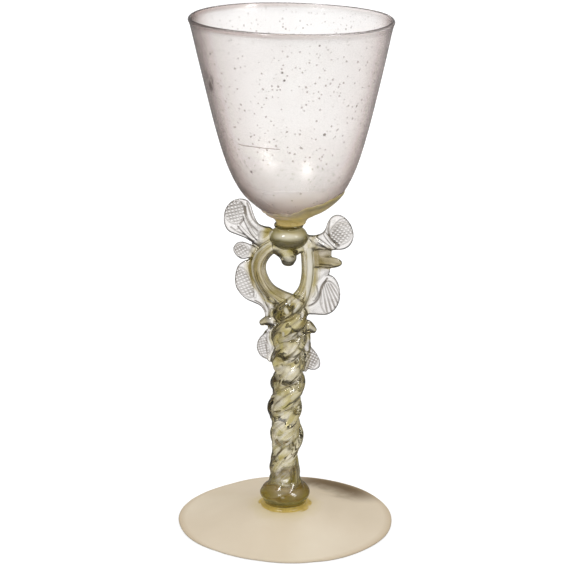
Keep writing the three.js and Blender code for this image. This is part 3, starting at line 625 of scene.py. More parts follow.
def resin_look():
    look = Look("resin")
    tone = look.ramp(look.noise(look.place, 120, 5.0, 0.65, 2.0), *RESIN_STREAKS)
    tone = look.mix(look.rise(look.z, 40, 30), tone, FILLET_SHADE, "MULTIPLY")
    tone = look.mix(look.read("dark"), tone, RESIN_LINE)
    ragged = look.math("MULTIPLY_ADD", look.noise(look.place, 300, 4.0, 0.6), 1.8, -0.1)
    tone = look.mix(look.times(look.read("fade"), ragged), tone, RESIN_FADED)
    look.put(Base_Color=tone, Roughness=0.28, Transmission_Weight=0.25, Coat_Weight=0.2, Coat_Roughness=0.1)
    look.lit_through(0.8, 0.7, 0.45)
    look.waves((90, 0.12), (400, 0.03))
    return look.owner


LOOKS = {
    "bowl_glass": bowl_look(),
    "stem_glass": stem_look(),
    "foot_glass": foot_look(),
    "resin": resin_look(),
}


def piece(name, body, slot, nodes):
    """A closed, smooth mesh, its faces turned out, that stands for the named nodes."""
    points, faces = body
    corners = np.asarray([(f[0], f[i], f[i + 1]) for f in faces for i in range(1, len(f) - 1)])
    a, b, c = (points[corners[:, k]] for k in range(3))
    if np.einsum("ij,ij->i", a, np.cross(b, c)).sum() < 0:
        faces = [f[::-1] for f in faces]
    mesh = bpy.data.meshes.new(name)
    mesh.from_pydata((points * MM).tolist(), [], faces)
    mesh.polygons.foreach_set("use_smooth", [True] * len(mesh.polygons))
    mesh.materials.append(LOOKS[slot])
    made = bpy.data.objects.new(name, mesh)
    bpy.context.scene.collection.objects.link(made)
    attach(made, "root")
    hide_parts(*nodes)
    return made


def paint(made, **values):
    """Stores numbers for each point of a piece, for its material to read."""
    for name, value in values.items():
        vectors = np.size(value) > len(made.data.vertices)
        kind, field = ("FLOAT_VECTOR", "vector") if vectors else ("FLOAT", "value")
        layer = made.data.attributes.new(name, kind, "POINT")
        layer.data.foreach_set(field, np.asarray(value, np.float32).ravel())


# Foot


# Radius of the foot's uneven edge by bearing in degrees, where -90 is the front
FOOT_EDGE_BY_BEARING = [
    (-180, 38.4), (-160, 37.7), (-150, 37.3), (-141, 36.8), (-131, 36.0), (-121, 35.8), (-104, 35.9),
    (-95, 36.3), (-90, 36.6), (-82, 37.0), (-74, 37.2), (-66, 37.8), (-40, 38.1), (-20, 38.4), (0, 38.4),
    (20, 38.5), (45, 38.5), (65, 38.3), (104, 37.9), (113, 37.6), (123, 37.2), (134, 37.2), (146, 37.7),
    (155, 38.3), (165, 38.5), (180, 38.4),
]


def foot_shape(r, z, angle):
    edge = np.interp(signed_degrees(angle), *zip(*FOOT_EDGE_BY_BEARING)) + 0.05 * np.sin(11 * angle)
    r = r * (1 + smoothstep(r, 0.3 * FOOT_RADIUS, 0.9 * FOOT_RADIUS) * (edge / FOOT_RADIUS - 1))
    top = (z > 0.7 * FOOT_EDGE) & (r > KNOP_RADIUS)
    return r, z + np.where(top, 0.04 * ripple(5, 0.3 * r * np.cos(angle), 0.3 * r * np.sin(angle)), 0)


def foot():
    hollow = FOOT_RISE - FOOT_WALL
    inner = FOOT_RADIUS - FOOT_EDGE / 2 - FOOT_REST
    under = [(0, hollow), (7.7, hollow), (17.4, 0.62 * hollow), (29.0, 0.2 * hollow), (inner, 0.0)]
    rest = [(lerp(inner, inner + FOOT_REST, t), 0.0) for t in (0.25, 0.5, 0.75, 1.0)]
    edge = [(0.12, 0.14), (0.02, 0.32), (0.06, 0.5), (0.2, 0.66), (0.5, 0.8)]
    edge = [(FOOT_RADIUS - inset, height) for inset, height in edge]
    climb = [(0.97, 0.012), (0.8, 0.16), (0.55, 0.48), (0.35, 0.82), (0.22, 1.0), (0.1, 1.02), (0.0, 1.02)]
    over = through([(r * FOOT_RADIUS, lerp(FOOT_EDGE, FOOT_RISE, h)) for r, h in climb], 70)
    rings = turned(np.vstack([through(under, 40), rest, edge, over]), 224, foot_shape)
    piece("foot_disc", skin(rings), "foot_glass", ["foot"])


def pontil():
    def shape(r, z, angle):
        r = r * (1 + 0.06 * np.sin(3 * angle) + 0.05 * np.sin(5 * angle + 1))
        rough = np.abs(ripple(8, 1.9 * r * np.cos(angle), 1.9 * r * np.sin(angle)))
        return r, z - 0.18 * rough * (z < 3.95)

    top = FOOT_RISE - FOOT_WALL
    profile = through([(0, 3.7), (1.4, 3.62), (2.5, 3.4), (3.3, 3.2), (3.9, 3.4), (4.15, top + 0.1)], 22)
    profile = np.vstack([profile, [(3.9, top + 0.2), (2.0, top + 0.2), (0, top + 0.2)]])
    piece("pontil", skin(turned(profile, 72, shape)), "foot_glass", ["pontil_scar"])


def knop():
    def shape(r, z, angle):
        twist = FULL_TURN * z / ROPE_PITCH
        lobes = 0.3 * np.cos(2 * (angle - twist) + 0.7) + 0.16 * np.cos(7 * (angle - 0.8 * twist))
        r = r + smoothstep(z, 8, 15.5) * lobes * smoothstep(r, 1, 5)
        r = r + 0.14 * ripple(3, 3 * np.cos(angle), 3 * np.sin(angle), 1.1 * z) * smoothstep(r, 1, 5)
        return r, z

    outline = [
        (0, 6.2), (7.1, 6.2), (7.35, 6.8), (7.6, 7.8), (8.1, 8.9), (8.6, 9.8), (8.9, 10.7), (8.8, 11.5),
        (8.4, 12.4), (7.7, 13.3), (6.7, 14.3), (5.9, 15.3), (5.3, 16.5), (4.8, 17.6), (4.0, 18.2),
        (0, 18.2),
    ]
    return skin(turned(through(outline, 110), 128, shape))


def foot_fillet():
    def shape(r, z, angle):
        uneven = 0.3 * np.sin(2 * angle + 2.2) + 0.2 * np.sin(5 * angle) + 0.12 * np.sin(9 * angle + 1)
        return r + uneven * smoothstep(r, 8.2, 9.8), z

    outline = [
        (6.8, 6.2), (8.0, 6.2), (9.3, 6.2), (9.2, 6.3), (8.6, 6.4), (8.05, 6.65), (7.75, 7.1), (7.6, 7.6),
        (7.2, 7.6), (6.9, 7.0),
    ]
    rings = turned(through(outline, 60, closed=True), 120, shape)
    piece("foot_resin_fillet", skin(rings, closed=True), "resin", ["foot_resin"])


# Rope and heart

STRAND_RADIUS = 3.06
ORBIT = 3.05
CORE_RADIUS = 5.1

# Heights at which the strands lie side by side, unevenly spaced, and the half turns up to there
SIDE_BY_SIDE = [12.0, 27.0, 38.8, 48.0, 56.3, 65.4, 74.4, 81.1]
HALF_TURNS = [-7.25, -6.25, -5.25, -4.25, -3.25, -2.25, -1.25, -0.5]
EVENED_OVER = 1.5

# Sway of the rope's middle by height
SWAY = [
    (16, 0), (18.8, -0.1), (21, -0.65), (24, -0.5), (27, -0.28), (30, 0), (33, 0.2), (36, -0.35),
    (38.5, -0.45), (41, -0.95), (44, -0.73), (47.4, -0.45), (50, 0), (54, 0.2), (60, 0),
]


def axis_x(z):
    """The middle of the rope, which sways a little from side to side."""
    return (z - ROPE_BASE) / ROPE_LENGTH * STEM_LEAN + np.interp(z, *zip(*SWAY))


def rope_share(z):
    return lerp(0.88, 1.0, smoothstep(z, ROPE_BASE, ROPE_BASE + ROPE_LENGTH / 2))


def rope_point(z, side):
    shifts = (0, -EVENED_OVER, EVENED_OVER)
    turns = sum(np.interp(z + shift, SIDE_BY_SIDE, HALF_TURNS) for shift in shifts) / 3
    wound = turns * math.pi + (0.25 - 0.5 * side) * math.pi
    even = (z - CROSSING) / ROPE_PITCH * FULL_TURN - side * math.pi / 2
    angle = lerp(wound, even, smoothstep(z, 74, CROSSING))
    return around(ORBIT * rope_share(z), angle, z, axis_x(z))


# The arms as shares of the heart's width and height, with the distance behind its plane in mm
LEFT_ARM = [
    (0.3, 0.075, 1.9), (0.63, 0.19, 0.7), (0.87, 0.34, 0.1), (1.0, 0.5, 0.0), (0.98, 0.64, 0.0),
    (0.81, 0.77, 0.0), (0.55, 0.87, 0.0), (0.3, 0.93, 0.0),
]
RIGHT_ARM = [
    (0.42, 0.085, -1.8), (0.75, 0.2, -0.6), (0.93, 0.34, -0.1), (1.0, 0.48, 0.0), (1.0, 0.63, 0.0),
    (0.95, 0.78, 0.0), (0.86, 0.92, 0.0), (0.8, 0.97, 0.0),
]


def arm_points(side):
    arm, reach = (LEFT_ARM, HEART_LEFT) if side < 0 else (RIGHT_ARM, HEART_RIGHT)
    return [(STEM_LEAN + side * out * reach, back, CROSSING + up * HEART_HEIGHT) for out, up, back in arm]


def strand_path(side):
    levels = np.linspace(KNOP_TOP - 0.6, CROSSING, 60)
    return through(np.vstack([rope_point(levels, side), arm_points(side)]), 520)


def strand(side):
    path = strand_path(side)
    level = path[:, 2]
    parted = smoothstep(level, CROSSING - 1, CROSSING + 0.3 * HEART_HEIGHT)
    arm_radius = 2.4 if side < 0 else 2.0
    radii = lerp(STRAND_RADIUS * rope_share(level), arm_radius, parted)
    return tube(path, radii * (1 + 0.03 * ripple(11 + side, 0.6 * level)), 48)


def core():
    """Fills the grooves between the strands, which are melted into each other."""
    level = np.linspace(KNOP_TOP - 0.4, CROSSING + 1, 80)
    path = np.stack([axis_x(level), 0 * level, level], axis=1)
    radii = CORE_RADIUS * rope_share(level) * (1 + 0.03 * ripple(4, 0.7 * level))
    return tube(path, radii * lerp(1, 0.55, smoothstep(level, CROSSING - 8, CROSSING)), 64)


# Bearings of the lengthwise grooves on the arms
ARM_GROOVES = (-0.85, -0.2, 0.5, 2.2, -2.4)


def ribs(bearing, run, on_arm):
    """Lengthwise streaks of a strand: fine ones on the rope, and deeper grooves on the arms, which also get
    painted shade.
    """
    rope = 0.28 * np.cos(3 * bearing + 0.12 * run) + 0.1 * np.cos(8 * bearing - 0.12 * run + 1)
    rope += 0.22 * ripple(17, 2.0 * bearing, 0.7 * run)
    grooves = sum(bump(bearing - at, 0.17) for at in ARM_GROOVES)
    arm = 0.1 - 0.34 * grooves + 0.05 * np.cos(7 * bearing + 0.05 * run)
    return lerp(rope, arm, on_arm), grooves * on_arm


# Ball, collar, bowl, neck, resin and the drop


def ball():
    profile = []
    for a in np.linspace(-0.5 * math.pi, math.asin(0.9), 60):
        wide = 1.05 * BALL_RADIUS * max(math.cos(a), 0) ** 0.8
        profile.append((wide, BALL_CENTRE + BALL_HALF_HEIGHT * math.sin(a)))
    profile += [(2.2, BALL_CENTRE + 3.66), (1.2, BALL_CENTRE + 3.68), (0, BALL_CENTRE + 3.68)]
    return skin(turned(profile, 128, None, BALL_X))


def collar():
    outline = [(0, 0), (4.7, 0), (5.0, 0.15), (5.1, 0.5), (5.05, 0.9), (4.8, 1.15), (0, 1.15)]
    outline = [(r, COLLAR_BASE - 0.2 + z) for r, z in outline]
    return skin(turned(through(outline, 50), 96, None, BALL_X))


# Outline of the bowl as shares of its radius and height
BOWL_OUTLINE = [
    (0.0, 0.0), (0.145, 0.004), (0.262, 0.017), (0.384, 0.057), (0.526, 0.137), (0.651, 0.273),
    (0.768, 0.482), (0.9, 0.781), (0.975, 0.96), (1.0, 1.0),
]


def bowl_x(z):
    return 2.2 + 0.45 * (1 - (z - BOWL_BASE) / BOWL_HEIGHT)


def bowl_outside(count):
    return through([(r * BOWL_RADIUS, BOWL_BASE + h * BOWL_HEIGHT) for r, h in BOWL_OUTLINE], count)


def settle(rings):
    """Puts an upright bowl on its leaning axis, and lets its upper part fall to the right."""
    x, y, z = (rings[:, :, k] for k in range(3))
    fall = smoothstep((z - BOWL_BASE) / BOWL_HEIGHT, 0.4, 1.0)
    return np.stack([x + bowl_x(z), y, z - fall * BOWL_FALL * x], axis=2)


def bowl():
    outside = bowl_outside(130)
    climbed = (outside[:, 1] - BOWL_BASE) / BOWL_HEIGHT
    wall = lerp(1.5, 1.0, np.clip(climbed / 0.25, 0, 1)) + 0.25 * smoothstep(climbed, 0.965, 0.99)
    ahead = heading_of(outside)
    inside = outside + np.stack([-ahead[:, 1], ahead[:, 0]], axis=1) * wall[:, None]
    inside[:, 0] = np.maximum(inside[:, 0], 0)
    middle = (outside[-1] + inside[-1]) / 2
    lip = []
    for a in math.pi * np.arange(1, 8) / 8:
        lip.append(middle + (outside[-1] - middle) * math.cos(a) + np.array([0.05, 0.6]) * math.sin(a))

    def shape(r, z, angle):
        high = smoothstep(z, BOWL_BASE + 20, BOWL_BASE + BOWL_HEIGHT)
        r = r * (1 + high * 0.0016 * np.sin(2 * angle + 1.0) + 0.0012 * np.sin(5 * angle + 0.13 * z))
        return r, z + high * 0.12 * np.sin(3 * angle + 0.8)

    profile = np.vstack([outside, lip, inside[::-1][:-1], [(0, BOWL_BASE + 1.5)]])
    piece("bowl_cup", skin(settle(turned(profile, 256, shape))), "bowl_glass", ["bowl"])


def neck():
    outline = [(0, 110.75), (4.7, 110.75), (5.05, 110.95), (5.35, 111.6), (6.0, 112.5), (7.2, 113.4),
               (8.6, 114.1), (9.2, 114.6), (9.2, 115.1)]
    under = bowl_outside(400)
    inner = [(r, np.interp(r, under[:, 0], under[:, 1]) - 0.02) for r in np.linspace(9.0, 0, 24)]
    profile = [(r, z) for r, z in through(outline, 60) if r < 8.4 or z < 114.3] + inner

    def shape(r, z, angle):
        return r * (1 + 0.012 * np.sin(3 * angle + 2) + 0.01 * np.sin(5 * angle)), z

    body = skin(turned(profile, 120, shape, (BALL_X + bowl_x(BOWL_BASE)) / 2))
    x, _, z = body[0].T
    made = piece("neck_flare", body, "resin", ["neck"])
    paint(made, fade=0.9 * smoothstep(z, 113.3, 114.4) * smoothstep(x, 6, -1))


# Height of the resin's edge above the bowl's bottom by bearing in degrees, where -90 is the front
RESIN_EDGE = [
    (-180, 1.9), (-124, 2.3), (-92, 3.2), (-80, 4.6), (-72, 5.8), (-63, 6.5), (-53, 7.1), (-37, 8.1),
    (-20, 8.9), (0, 8.6), (25, 5.5), (60, 2.8), (120, 1.9), (180, 1.9),
]
# How far the resin has lost its colour, by bearing
RESIN_LOST = [(-180, 1), (-124, 1), (-95, 0.85), (-70, 0.4), (-40, 0.15), (60, 0.3), (120, 1), (180, 1)]
RESIN_STEPS = 26
RESIN_START = 7.2


def resin_edge(degrees):
    """Height of the resin's ragged edge above the bowl's bottom."""
    ragged = 0.2 * np.sin(np.radians(degrees) * 9 + 1) + 0.15 * np.sin(np.radians(degrees) * 23)
    return np.interp(degrees, *zip(*RESIN_EDGE)) + ragged


def bowl_resin():
    under = bowl_outside(600)
    run, ahead = run_along(under), heading_of(under)
    away = np.stack([ahead[:, 1], -ahead[:, 0]], axis=1)
    angle = bearings(240)
    degrees = signed_degrees(angle)
    edge = np.interp(BOWL_BASE + resin_edge(degrees), under[:, 1], run)
    start = np.interp(RESIN_START, under[:, 0], run)
    outer, inner = [], []
    for i in range(RESIN_STEPS + 1):
        t = i / RESIN_STEPS
        stop = start + (edge - start) * t
        point, normal = (
            np.stack([np.interp(stop, run, c) for c in curve.T], axis=1) for curve in (under, away)
        )
        lumpy = 0.42 + 0.12 * ripple(21, 6 * np.cos(angle), 6 * np.sin(angle), 0.7 * stop)
        thick = lumpy * math.sqrt(max(0.0, 1 - max(0.0, (t - 0.9) / 0.1) ** 2)) * min(1, 0.3 + 4 * t)
        for layer, distance in ((outer, 0.03 + thick), (inner, 0 * thick + 0.02)):
            r, z = (point + normal * distance[:, None]).T
            layer.append(around(r, angle, z))
    body = skin(settle(np.array(outer + inner[::-1])), closed=True)
    made = piece("bowl_resin_skin", body, "resin", ["bowl_resin"])
    up = np.linspace(0, 1, RESIN_STEPS + 1)[:, None]
    lost = np.interp(degrees, *zip(*RESIN_LOST))
    fade = lost * smoothstep(up, 0.2, 0.85)
    dark = (1 - lost) * bump(up - 0.86, 0.13)
    paint(made, fade=np.vstack([fade, fade[::-1]]), dark=np.vstack([dark, dark[::-1]]))


def drop():
    path = [(-2.2, 0.2, 103.0), (-0.7, 0.0, 101.6), (0.7, -0.2, 100.0), (1.1, -0.2, 98.2), (1.0, -0.1, 96.8)]
    radii = spread(60, [0, 0.15, 0.35, 0.6, 0.85, 1], [3.4, 3.4, 3.2, 3.1, 2.8, 2.3])
    return tube(through(path, 60), radii, 40, None, 7)


def coil():
    path = [(0.9, -1.4, 99.4), (2.2, -2.0, 100.6), (3.7, -1.8, 101.2), (5.2, -0.9, 102.0), (6.6, 0, 103.0)]
    return tube(through(path, 80), spread(80, [0, 0.3, 0.7, 1], [1.3, 1.6, 1.6, 1.2]), 28)


# Wings, webs, shoulders and threads

# Points along the outline, and from it to the centre
WING_GRID = (120, 18)
LUMP_GRID = (90, 16)


def flat_half(size, root=(0.0, 0.0), reach=1.0, swell=0.0):
    """Half the thickness of a wing, which swells towards its root."""
    return lambda x, z, s: size + swell * bump(np.hypot(x - root[0], z - root[1]), reach)


def domed_half(size):
    return lambda x, z, s: size * np.sqrt(np.clip(1 - s**2, 0.0004, 1))


def wing(outline, centre, half, *reliefs):
    """A flat lobe to be melted into the stem, and the relief to be pressed into it afterwards."""
    return plate(outline, centre, half, *WING_GRID), lambda x, z: sum(relief(x, z) for relief in reliefs)


def lump(outline, centre, size):
    """A soft bit of hot glass, to be melted into the stem; size is half its thickness."""
    return plate(outline, centre, lambda x, z, s: 0.15 + (size - 0.15) * (1 - s**2) ** 1.2, *LUMP_GRID)


def spur(points, radii):
    """A short, rounded thumb of glass."""
    return tube(through(points, 40), spread(40, np.linspace(0, 1, len(radii)), radii), 40, None, 6)


def stroke(points, width, height):
    """A pressed line, or with a height above 0 a raised one, along [x, z] points."""
    line = through(raised(points), 40)

    def relief(x, z):
        nearest = np.full_like(x, 1e9)
        for (ax, az), (bx, bz) in zip(line[:-1], line[1:]):
            dx, dz = bx - ax, bz - az
            t = np.clip(((x - ax) * dx + (z - az) * dz) / (dx * dx + dz * dz), 0, 1)
            nearest = np.minimum(nearest, np.hypot(x - ax - t * dx, z - az - t * dz))
        return height * bump(nearest, width)

    return relief


# The pincered wings, first those at the left
WINGS = [
    wing(
        [(-8.4, 101.8), (-10.4, 102.6), (-11.9, 103.3), (-13.8, 104.5), (-16.5, 105.6), (-19.5, 107.0),
         (-20.9, 109.6), (-21.0, 112.3), (-20.5, 114.6), (-19.2, 116.7), (-17.4, 118.0), (-15.0, 118.5),
         (-12.9, 117.9), (-11.7, 116.3), (-10.9, 113.6), (-9.8, 110.8), (-8.6, 109.3), (-6.6, 108.5),
         (-4.4, 107.8), (-4.2, 104.4), (-6.0, 102.4)],
        (-12.0, 108.6),
        flat_half(0.72, (-6.0, 105.4), 5.0, 0.9),
        grid_relief((-17.2, 113.9), (3.8, 4.4), 1.15, 12),
        stroke([(-15.1, 117.1), (-13.8, 114.3), (-14.8, 110.7), (-16.4, 107.5)], 0.25, -0.18),
        stroke([(-12.9, 117.0), (-12.1, 114.2), (-11.0, 111.4), (-9.2, 109.6), (-7.4, 108.8)], 0.25, -0.3),
        stroke([(-14.2, 112.6), (-13.0, 109.6), (-11.4, 106.6), (-9.8, 104.6)], 0.4, 0.35),
        stroke([(-16.0, 109.2), (-14.4, 107.2), (-12.4, 105.2), (-10.8, 104.0)], 0.35, 0.3),
        stroke([(-18.6, 108.4), (-16.4, 106.8), (-14.0, 105.6)], 0.22, -0.2),
        stroke([(-13.6, 115.6), (-13.2, 112.4), (-11.8, 109.4), (-9.6, 107.2)], 0.3, -0.25),
    ),
    wing(
        [(-9.6, 98.0), (-12.6, 97.3), (-14.8, 96.9), (-16.8, 98.2), (-17.9, 100.4), (-16.9, 102.5),
         (-14.9, 103.2), (-12.7, 102.6), (-11.2, 101.8), (-9.4, 100.6)],
        (-13.4, 100.1),
        flat_half(0.75),
        grid_relief((-15.0, 100.2), (2.5, 2.5), 0.95, 30),
    ),
    wing(
        [(-9.9, 96.9), (-12.9, 96.7), (-14.8, 95.9), (-16.4, 94.3), (-17.3, 91.0), (-17.2, 87.6),
         (-15.9, 84.9), (-13.6, 82.5), (-10.8, 81.1), (-8.6, 80.0), (-7.2, 78.0), (-6.5, 75.2),
         (-5.0, 74.6), (-3.6, 78.0), (-3.6, 82.4), (-5.4, 85.8), (-7.2, 88.8), (-8.4, 92.6), (-8.8, 95.4)],
        (-9.4, 85.6),
        flat_half(0.72, (-5.5, 80.0), 4.0, 0.5),
        grid_relief((-14.2, 88.6), (2.9, 5.9), 1.1, 24),
        stroke([(-12.6, 95.6), (-11.4, 91.0), (-10.6, 87.0), (-10.4, 83.4)], 0.35, 0.25),
        stroke([(-10.4, 81.9), (-8.3, 80.6), (-6.7, 78.0)], 0.25, -0.25),
    ),
    wing(
        [(-3.8, 70.8), (-6.6, 70.2), (-8.4, 68.9), (-9.6, 66.9), (-9.9, 64.6), (-9.1, 62.3), (-7.6, 60.8),
         (-6.0, 60.4), (-4.0, 61.0), (-3.6, 64.0), (-3.6, 67.5)],
        (-6.6, 65.4),
        flat_half(0.68),
        grid_relief((-7.8, 65.2), (2.1, 4.4), 0.95, 14),
    ),
    wing(
        [(5.4, 105.8), (8.0, 105.3), (10.4, 105.4), (12.7, 106.3), (13.9, 107.8), (14.6, 109.9),
         (16.0, 112.0), (18.2, 112.8), (20.6, 111.7), (22.6, 109.2), (23.6, 106.0), (23.3, 103.4),
         (22.1, 101.5), (20.2, 100.4), (17.0, 100.1), (14.1, 100.2), (11.4, 100.4), (8.2, 100.4),
         (5.8, 102.4)],
        (14.4, 104.4),
        flat_half(0.72, (7.5, 102.8), 5.0, 0.9),
        grid_relief((19.6, 106.7), (3.7, 5.2), 1.1, -34),
        stroke([(15.2, 110.4), (14.9, 107.4), (16.0, 104.2), (18.6, 101.6)], 0.28, -0.28),
        stroke([(13.6, 106.0), (15.0, 104.0), (17.4, 101.4)], 0.45, 0.35),
        stroke([(10.2, 104.4), (12.8, 102.6), (15.2, 100.9)], 0.45, 0.35),
        stroke([(8.8, 103.6), (11.0, 102.0), (13.6, 101.0)], 0.3, -0.25),
    ),
    wing(
        [(7.4, 98.8), (10.4, 98.6), (12.6, 98.4), (15.2, 97.9), (17.6, 97.4), (19.2, 96.6), (19.9, 95.5),
         (19.3, 94.5), (17.6, 93.8), (14.8, 93.5), (11.8, 93.6), (8.6, 94.0), (7.0, 96.4)],
        (12.8, 95.9),
        domed_half(1.45),
        stroke([(11.2, 96.6), (13.6, 96.4), (16.4, 95.9), (18.4, 95.4)], 0.35, -0.2),
        stroke([(11.0, 95.2), (13.4, 94.9), (16.0, 94.7)], 0.3, -0.16),
    ),
    wing(
        [(5.8, 77.0), (9.8, 76.8), (12.2, 76.6), (14.6, 76.7), (17.1, 78.2), (18.8, 81.2), (19.2, 84.4),
         (18.7, 87.4), (17.5, 89.8), (15.8, 91.1), (13.6, 90.9), (11.0, 89.8), (8.8, 88.2), (7.0, 86.0),
         (5.8, 82.4), (5.2, 79.4)],
        (12.2, 82.8),
        flat_half(0.72, (7.6, 81.0), 4.0, 0.6),
        grid_relief((15.6, 82.6), (3.3, 6.4), 5.2, 10, 0.42, 0.18, fan=((11.6, 95.0), -80)),
        stroke([(14.6, 90.0), (12.8, 86.6), (11.8, 83.0), (10.2, 81.0), (8.2, 80.0)], 0.28, -0.3),
        stroke([(10.4, 87.0), (10.9, 84.4), (10.0, 82.6)], 0.45, 0.35),
    ),
    wing(
        [(4.8, 66.8), (8.0, 65.7), (9.8, 64.1), (11.5, 61.7), (12.4, 59.2), (12.0, 57.2), (10.2, 56.3),
         (8.2, 56.6), (6.7, 57.4), (5.4, 60.2), (4.8, 63.4)],
        (8.0, 61.0),
        flat_half(0.68),
        grid_relief((9.4, 60.4), (2.4, 4.5), 0.95, -28),
    ),
]

BAND_PATH = through(
    [(8.2, -0.9, 101.4), (8.6, -1.1, 98.0), (8.7, -1.2, 94.0), (8.3, -1.2, 89.6), (7.4, -1.2, 85.4),
     (6.2, -1.6, 82.6), (4.6, -2.2, 80.4)],
    160,
)
LEFT_THREAD = [
    (-4.6, -1.6, 103.4), (-7.6, -1.6, 101.6), (-10.2, -1.5, 98.6), (-11.2, -1.3, 95.2), (-10.9, -1.2, 91.6),
    (-9.4, -1.1, 87.6), (-7.2, -1.0, 84.0), (-6.0, -0.8, 80.4), (-5.7, -0.6, 76.0), (-5.4, -0.4, 72.2),
]


def flat_band():
    """The broad flat band of glass along the front of the right arm."""
    return tube(BAND_PATH, 1.0, 40, lambda a: (np.abs(np.cos(a)) ** 5 + np.abs(np.sin(a)) ** 5) ** -0.2)


def thread(points, radius):
    path = through(raised(points), 240)
    run = np.linspace(0, 1, 240)
    wavy = 1 + 0.08 * np.sin(run * run_along(path)[-1] * 1.3)
    return tube(path, radius * wavy * spread(240, [0, 0.04, 0.96, 1], [0.6, 1, 1, 0.6]), 24)


# The nodes that the stem stands for
STEM_NODES = [
    "foot_knop", "left_strand", "right_strand", "ball_knop", "collar", "pendant_drop", "pendant_pad",
    "left_shoulder", "right_shoulder", "left_crest", "right_crest", "left_lower_crest", "right_lower_crest",
    "left_spur", "right_spur", "right_upper_web", "right_lower_web", "left_upper_wing", "left_small_wing",
    "left_middle_wing", "left_lower_wing", "right_upper_wing", "right_leaf", "right_middle_wing",
    "right_lower_wing",
]


def thick_parts():
    """The rope, the heart and every thick bit of glass on them."""
    return [
        strand(-1),
        strand(1),
        core(),
        knop(),
        ball(),
        collar(),
        drop(),
        coil(),
        lump(
            [(-2.4, 107.0), (-4.4, 107.9), (-6.6, 108.4), (-8.4, 109.0), (-10.0, 108.0), (-11.2, 105.8),
             (-11.6, 103.2), (-10.4, 101.0), (-8.0, 99.8), (-5.2, 101.4), (-3.0, 103.2), (-2.0, 105.0)],
            (-7.0, 104.8), 2.0,
        ),
        lump(
            [(5.0, 106.6), (7.2, 105.7), (9.4, 105.1), (11.6, 105.2), (12.8, 103.6), (12.6, 101.4),
             (11.2, 99.6), (9.4, 98.4), (7.4, 98.6), (6.0, 100.6), (4.8, 103.2)],
            (9.0, 102.4), 2.0,
        ),
        lump(
            [(-9.0, 97.6), (-11.4, 98.0), (-12.6, 99.6), (-12.4, 101.6), (-11.0, 102.6), (-9.2, 101.6),
             (-8.4, 99.6)],
            (-10.6, 100.0), 1.3,
        ),
        lump(
            [(-9.6, 99.0), (-11.4, 97.8), (-12.9, 96.4), (-12.4, 94.4), (-11.2, 92.4), (-10.0, 93.0),
             (-9.2, 95.8)],
            (-10.8, 95.6), 1.1,
        ),
        lump(
            [(-5.6, 88.0), (-7.8, 86.6), (-8.4, 83.8), (-7.2, 80.6), (-6.0, 77.6), (-6.2, 74.6),
             (-5.9, 71.0), (-4.4, 69.4), (-2.6, 72.0), (-2.6, 79.0), (-3.2, 84.0)],
            (-4.7, 79.0), 1.8,
        ),
        spur([(-4.2, -0.2, 75.6), (-6.6, -0.3, 75.4), (-8.3, -0.3, 74.7)], (2.6, 1.7, 1.05)),
        lump(
            [(-4.0, 72.4), (-5.6, 72.0), (-7.4, 70.4), (-8.0, 67.0), (-7.8, 63.4), (-6.6, 60.6),
             (-5.0, 59.2), (-3.6, 61.0), (-3.4, 66.0)],
            (-5.4, 66.0), 1.0,
        ),
        lump(
            [(8.0, 100.9), (11.6, 100.6), (14.3, 100.5), (16.1, 100.2), (16.2, 98.8), (15.6, 97.0),
             (12.6, 96.6), (8.6, 97.0)],
            (11.6, 98.7), 1.1,
        ),
        lump(
            [(7.6, 95.4), (11.8, 94.8), (14.8, 94.2), (15.7, 93.2), (15.5, 91.8), (14.8, 90.1),
             (13.2, 88.7), (11.4, 87.0), (8.8, 86.0), (7.4, 90.4)],
            (10.6, 91.2), 1.1,
        ),
        lump(
            [(5.6, 86.4), (7.6, 87.4), (9.2, 85.2), (9.4, 81.6), (9.0, 78.4), (8.4, 76.2), (6.4, 74.8),
             (4.6, 77.6), (4.4, 82.4)],
            (6.8, 81.0), 1.7,
        ),
        spur([(5.6, -0.2, 73.8), (8.2, -0.3, 73.2), (10.3, -0.3, 71.9)], (3.2, 2.3, 1.1)),
        lump(
            [(4.6, 70.6), (6.8, 70.8), (8.6, 68.6), (9.2, 65.0), (8.6, 60.6), (7.8, 56.6), (6.2, 55.4),
             (4.8, 58.4), (4.2, 64.0)],
            (6.6, 64.0), 1.2,
        ),
        thread(LEFT_THREAD, 0.45),
        flat_band(),
        thread(
            [(-5.6, -0.4, 70.4), (-5.9, -0.5, 66.8), (-5.8, -0.5, 63.1), (-5.3, -0.3, 59.4)],
            0.7,
        ),
        thread(
            [(8.3, -0.6, 74.0), (8.2, -0.7, 69.4), (8.0, -0.6, 64.8), (7.8, -0.5, 60.2), (7.2, -0.3, 55.9)],
            0.75,
        ),
    ]


# Detail in mm at which the stem's glass is melted together, and the rounds that even it out, then its ribs
MELT_VOXEL = 0.24
MELT_ROUNDS = 12
RIB_ROUNDS = 6


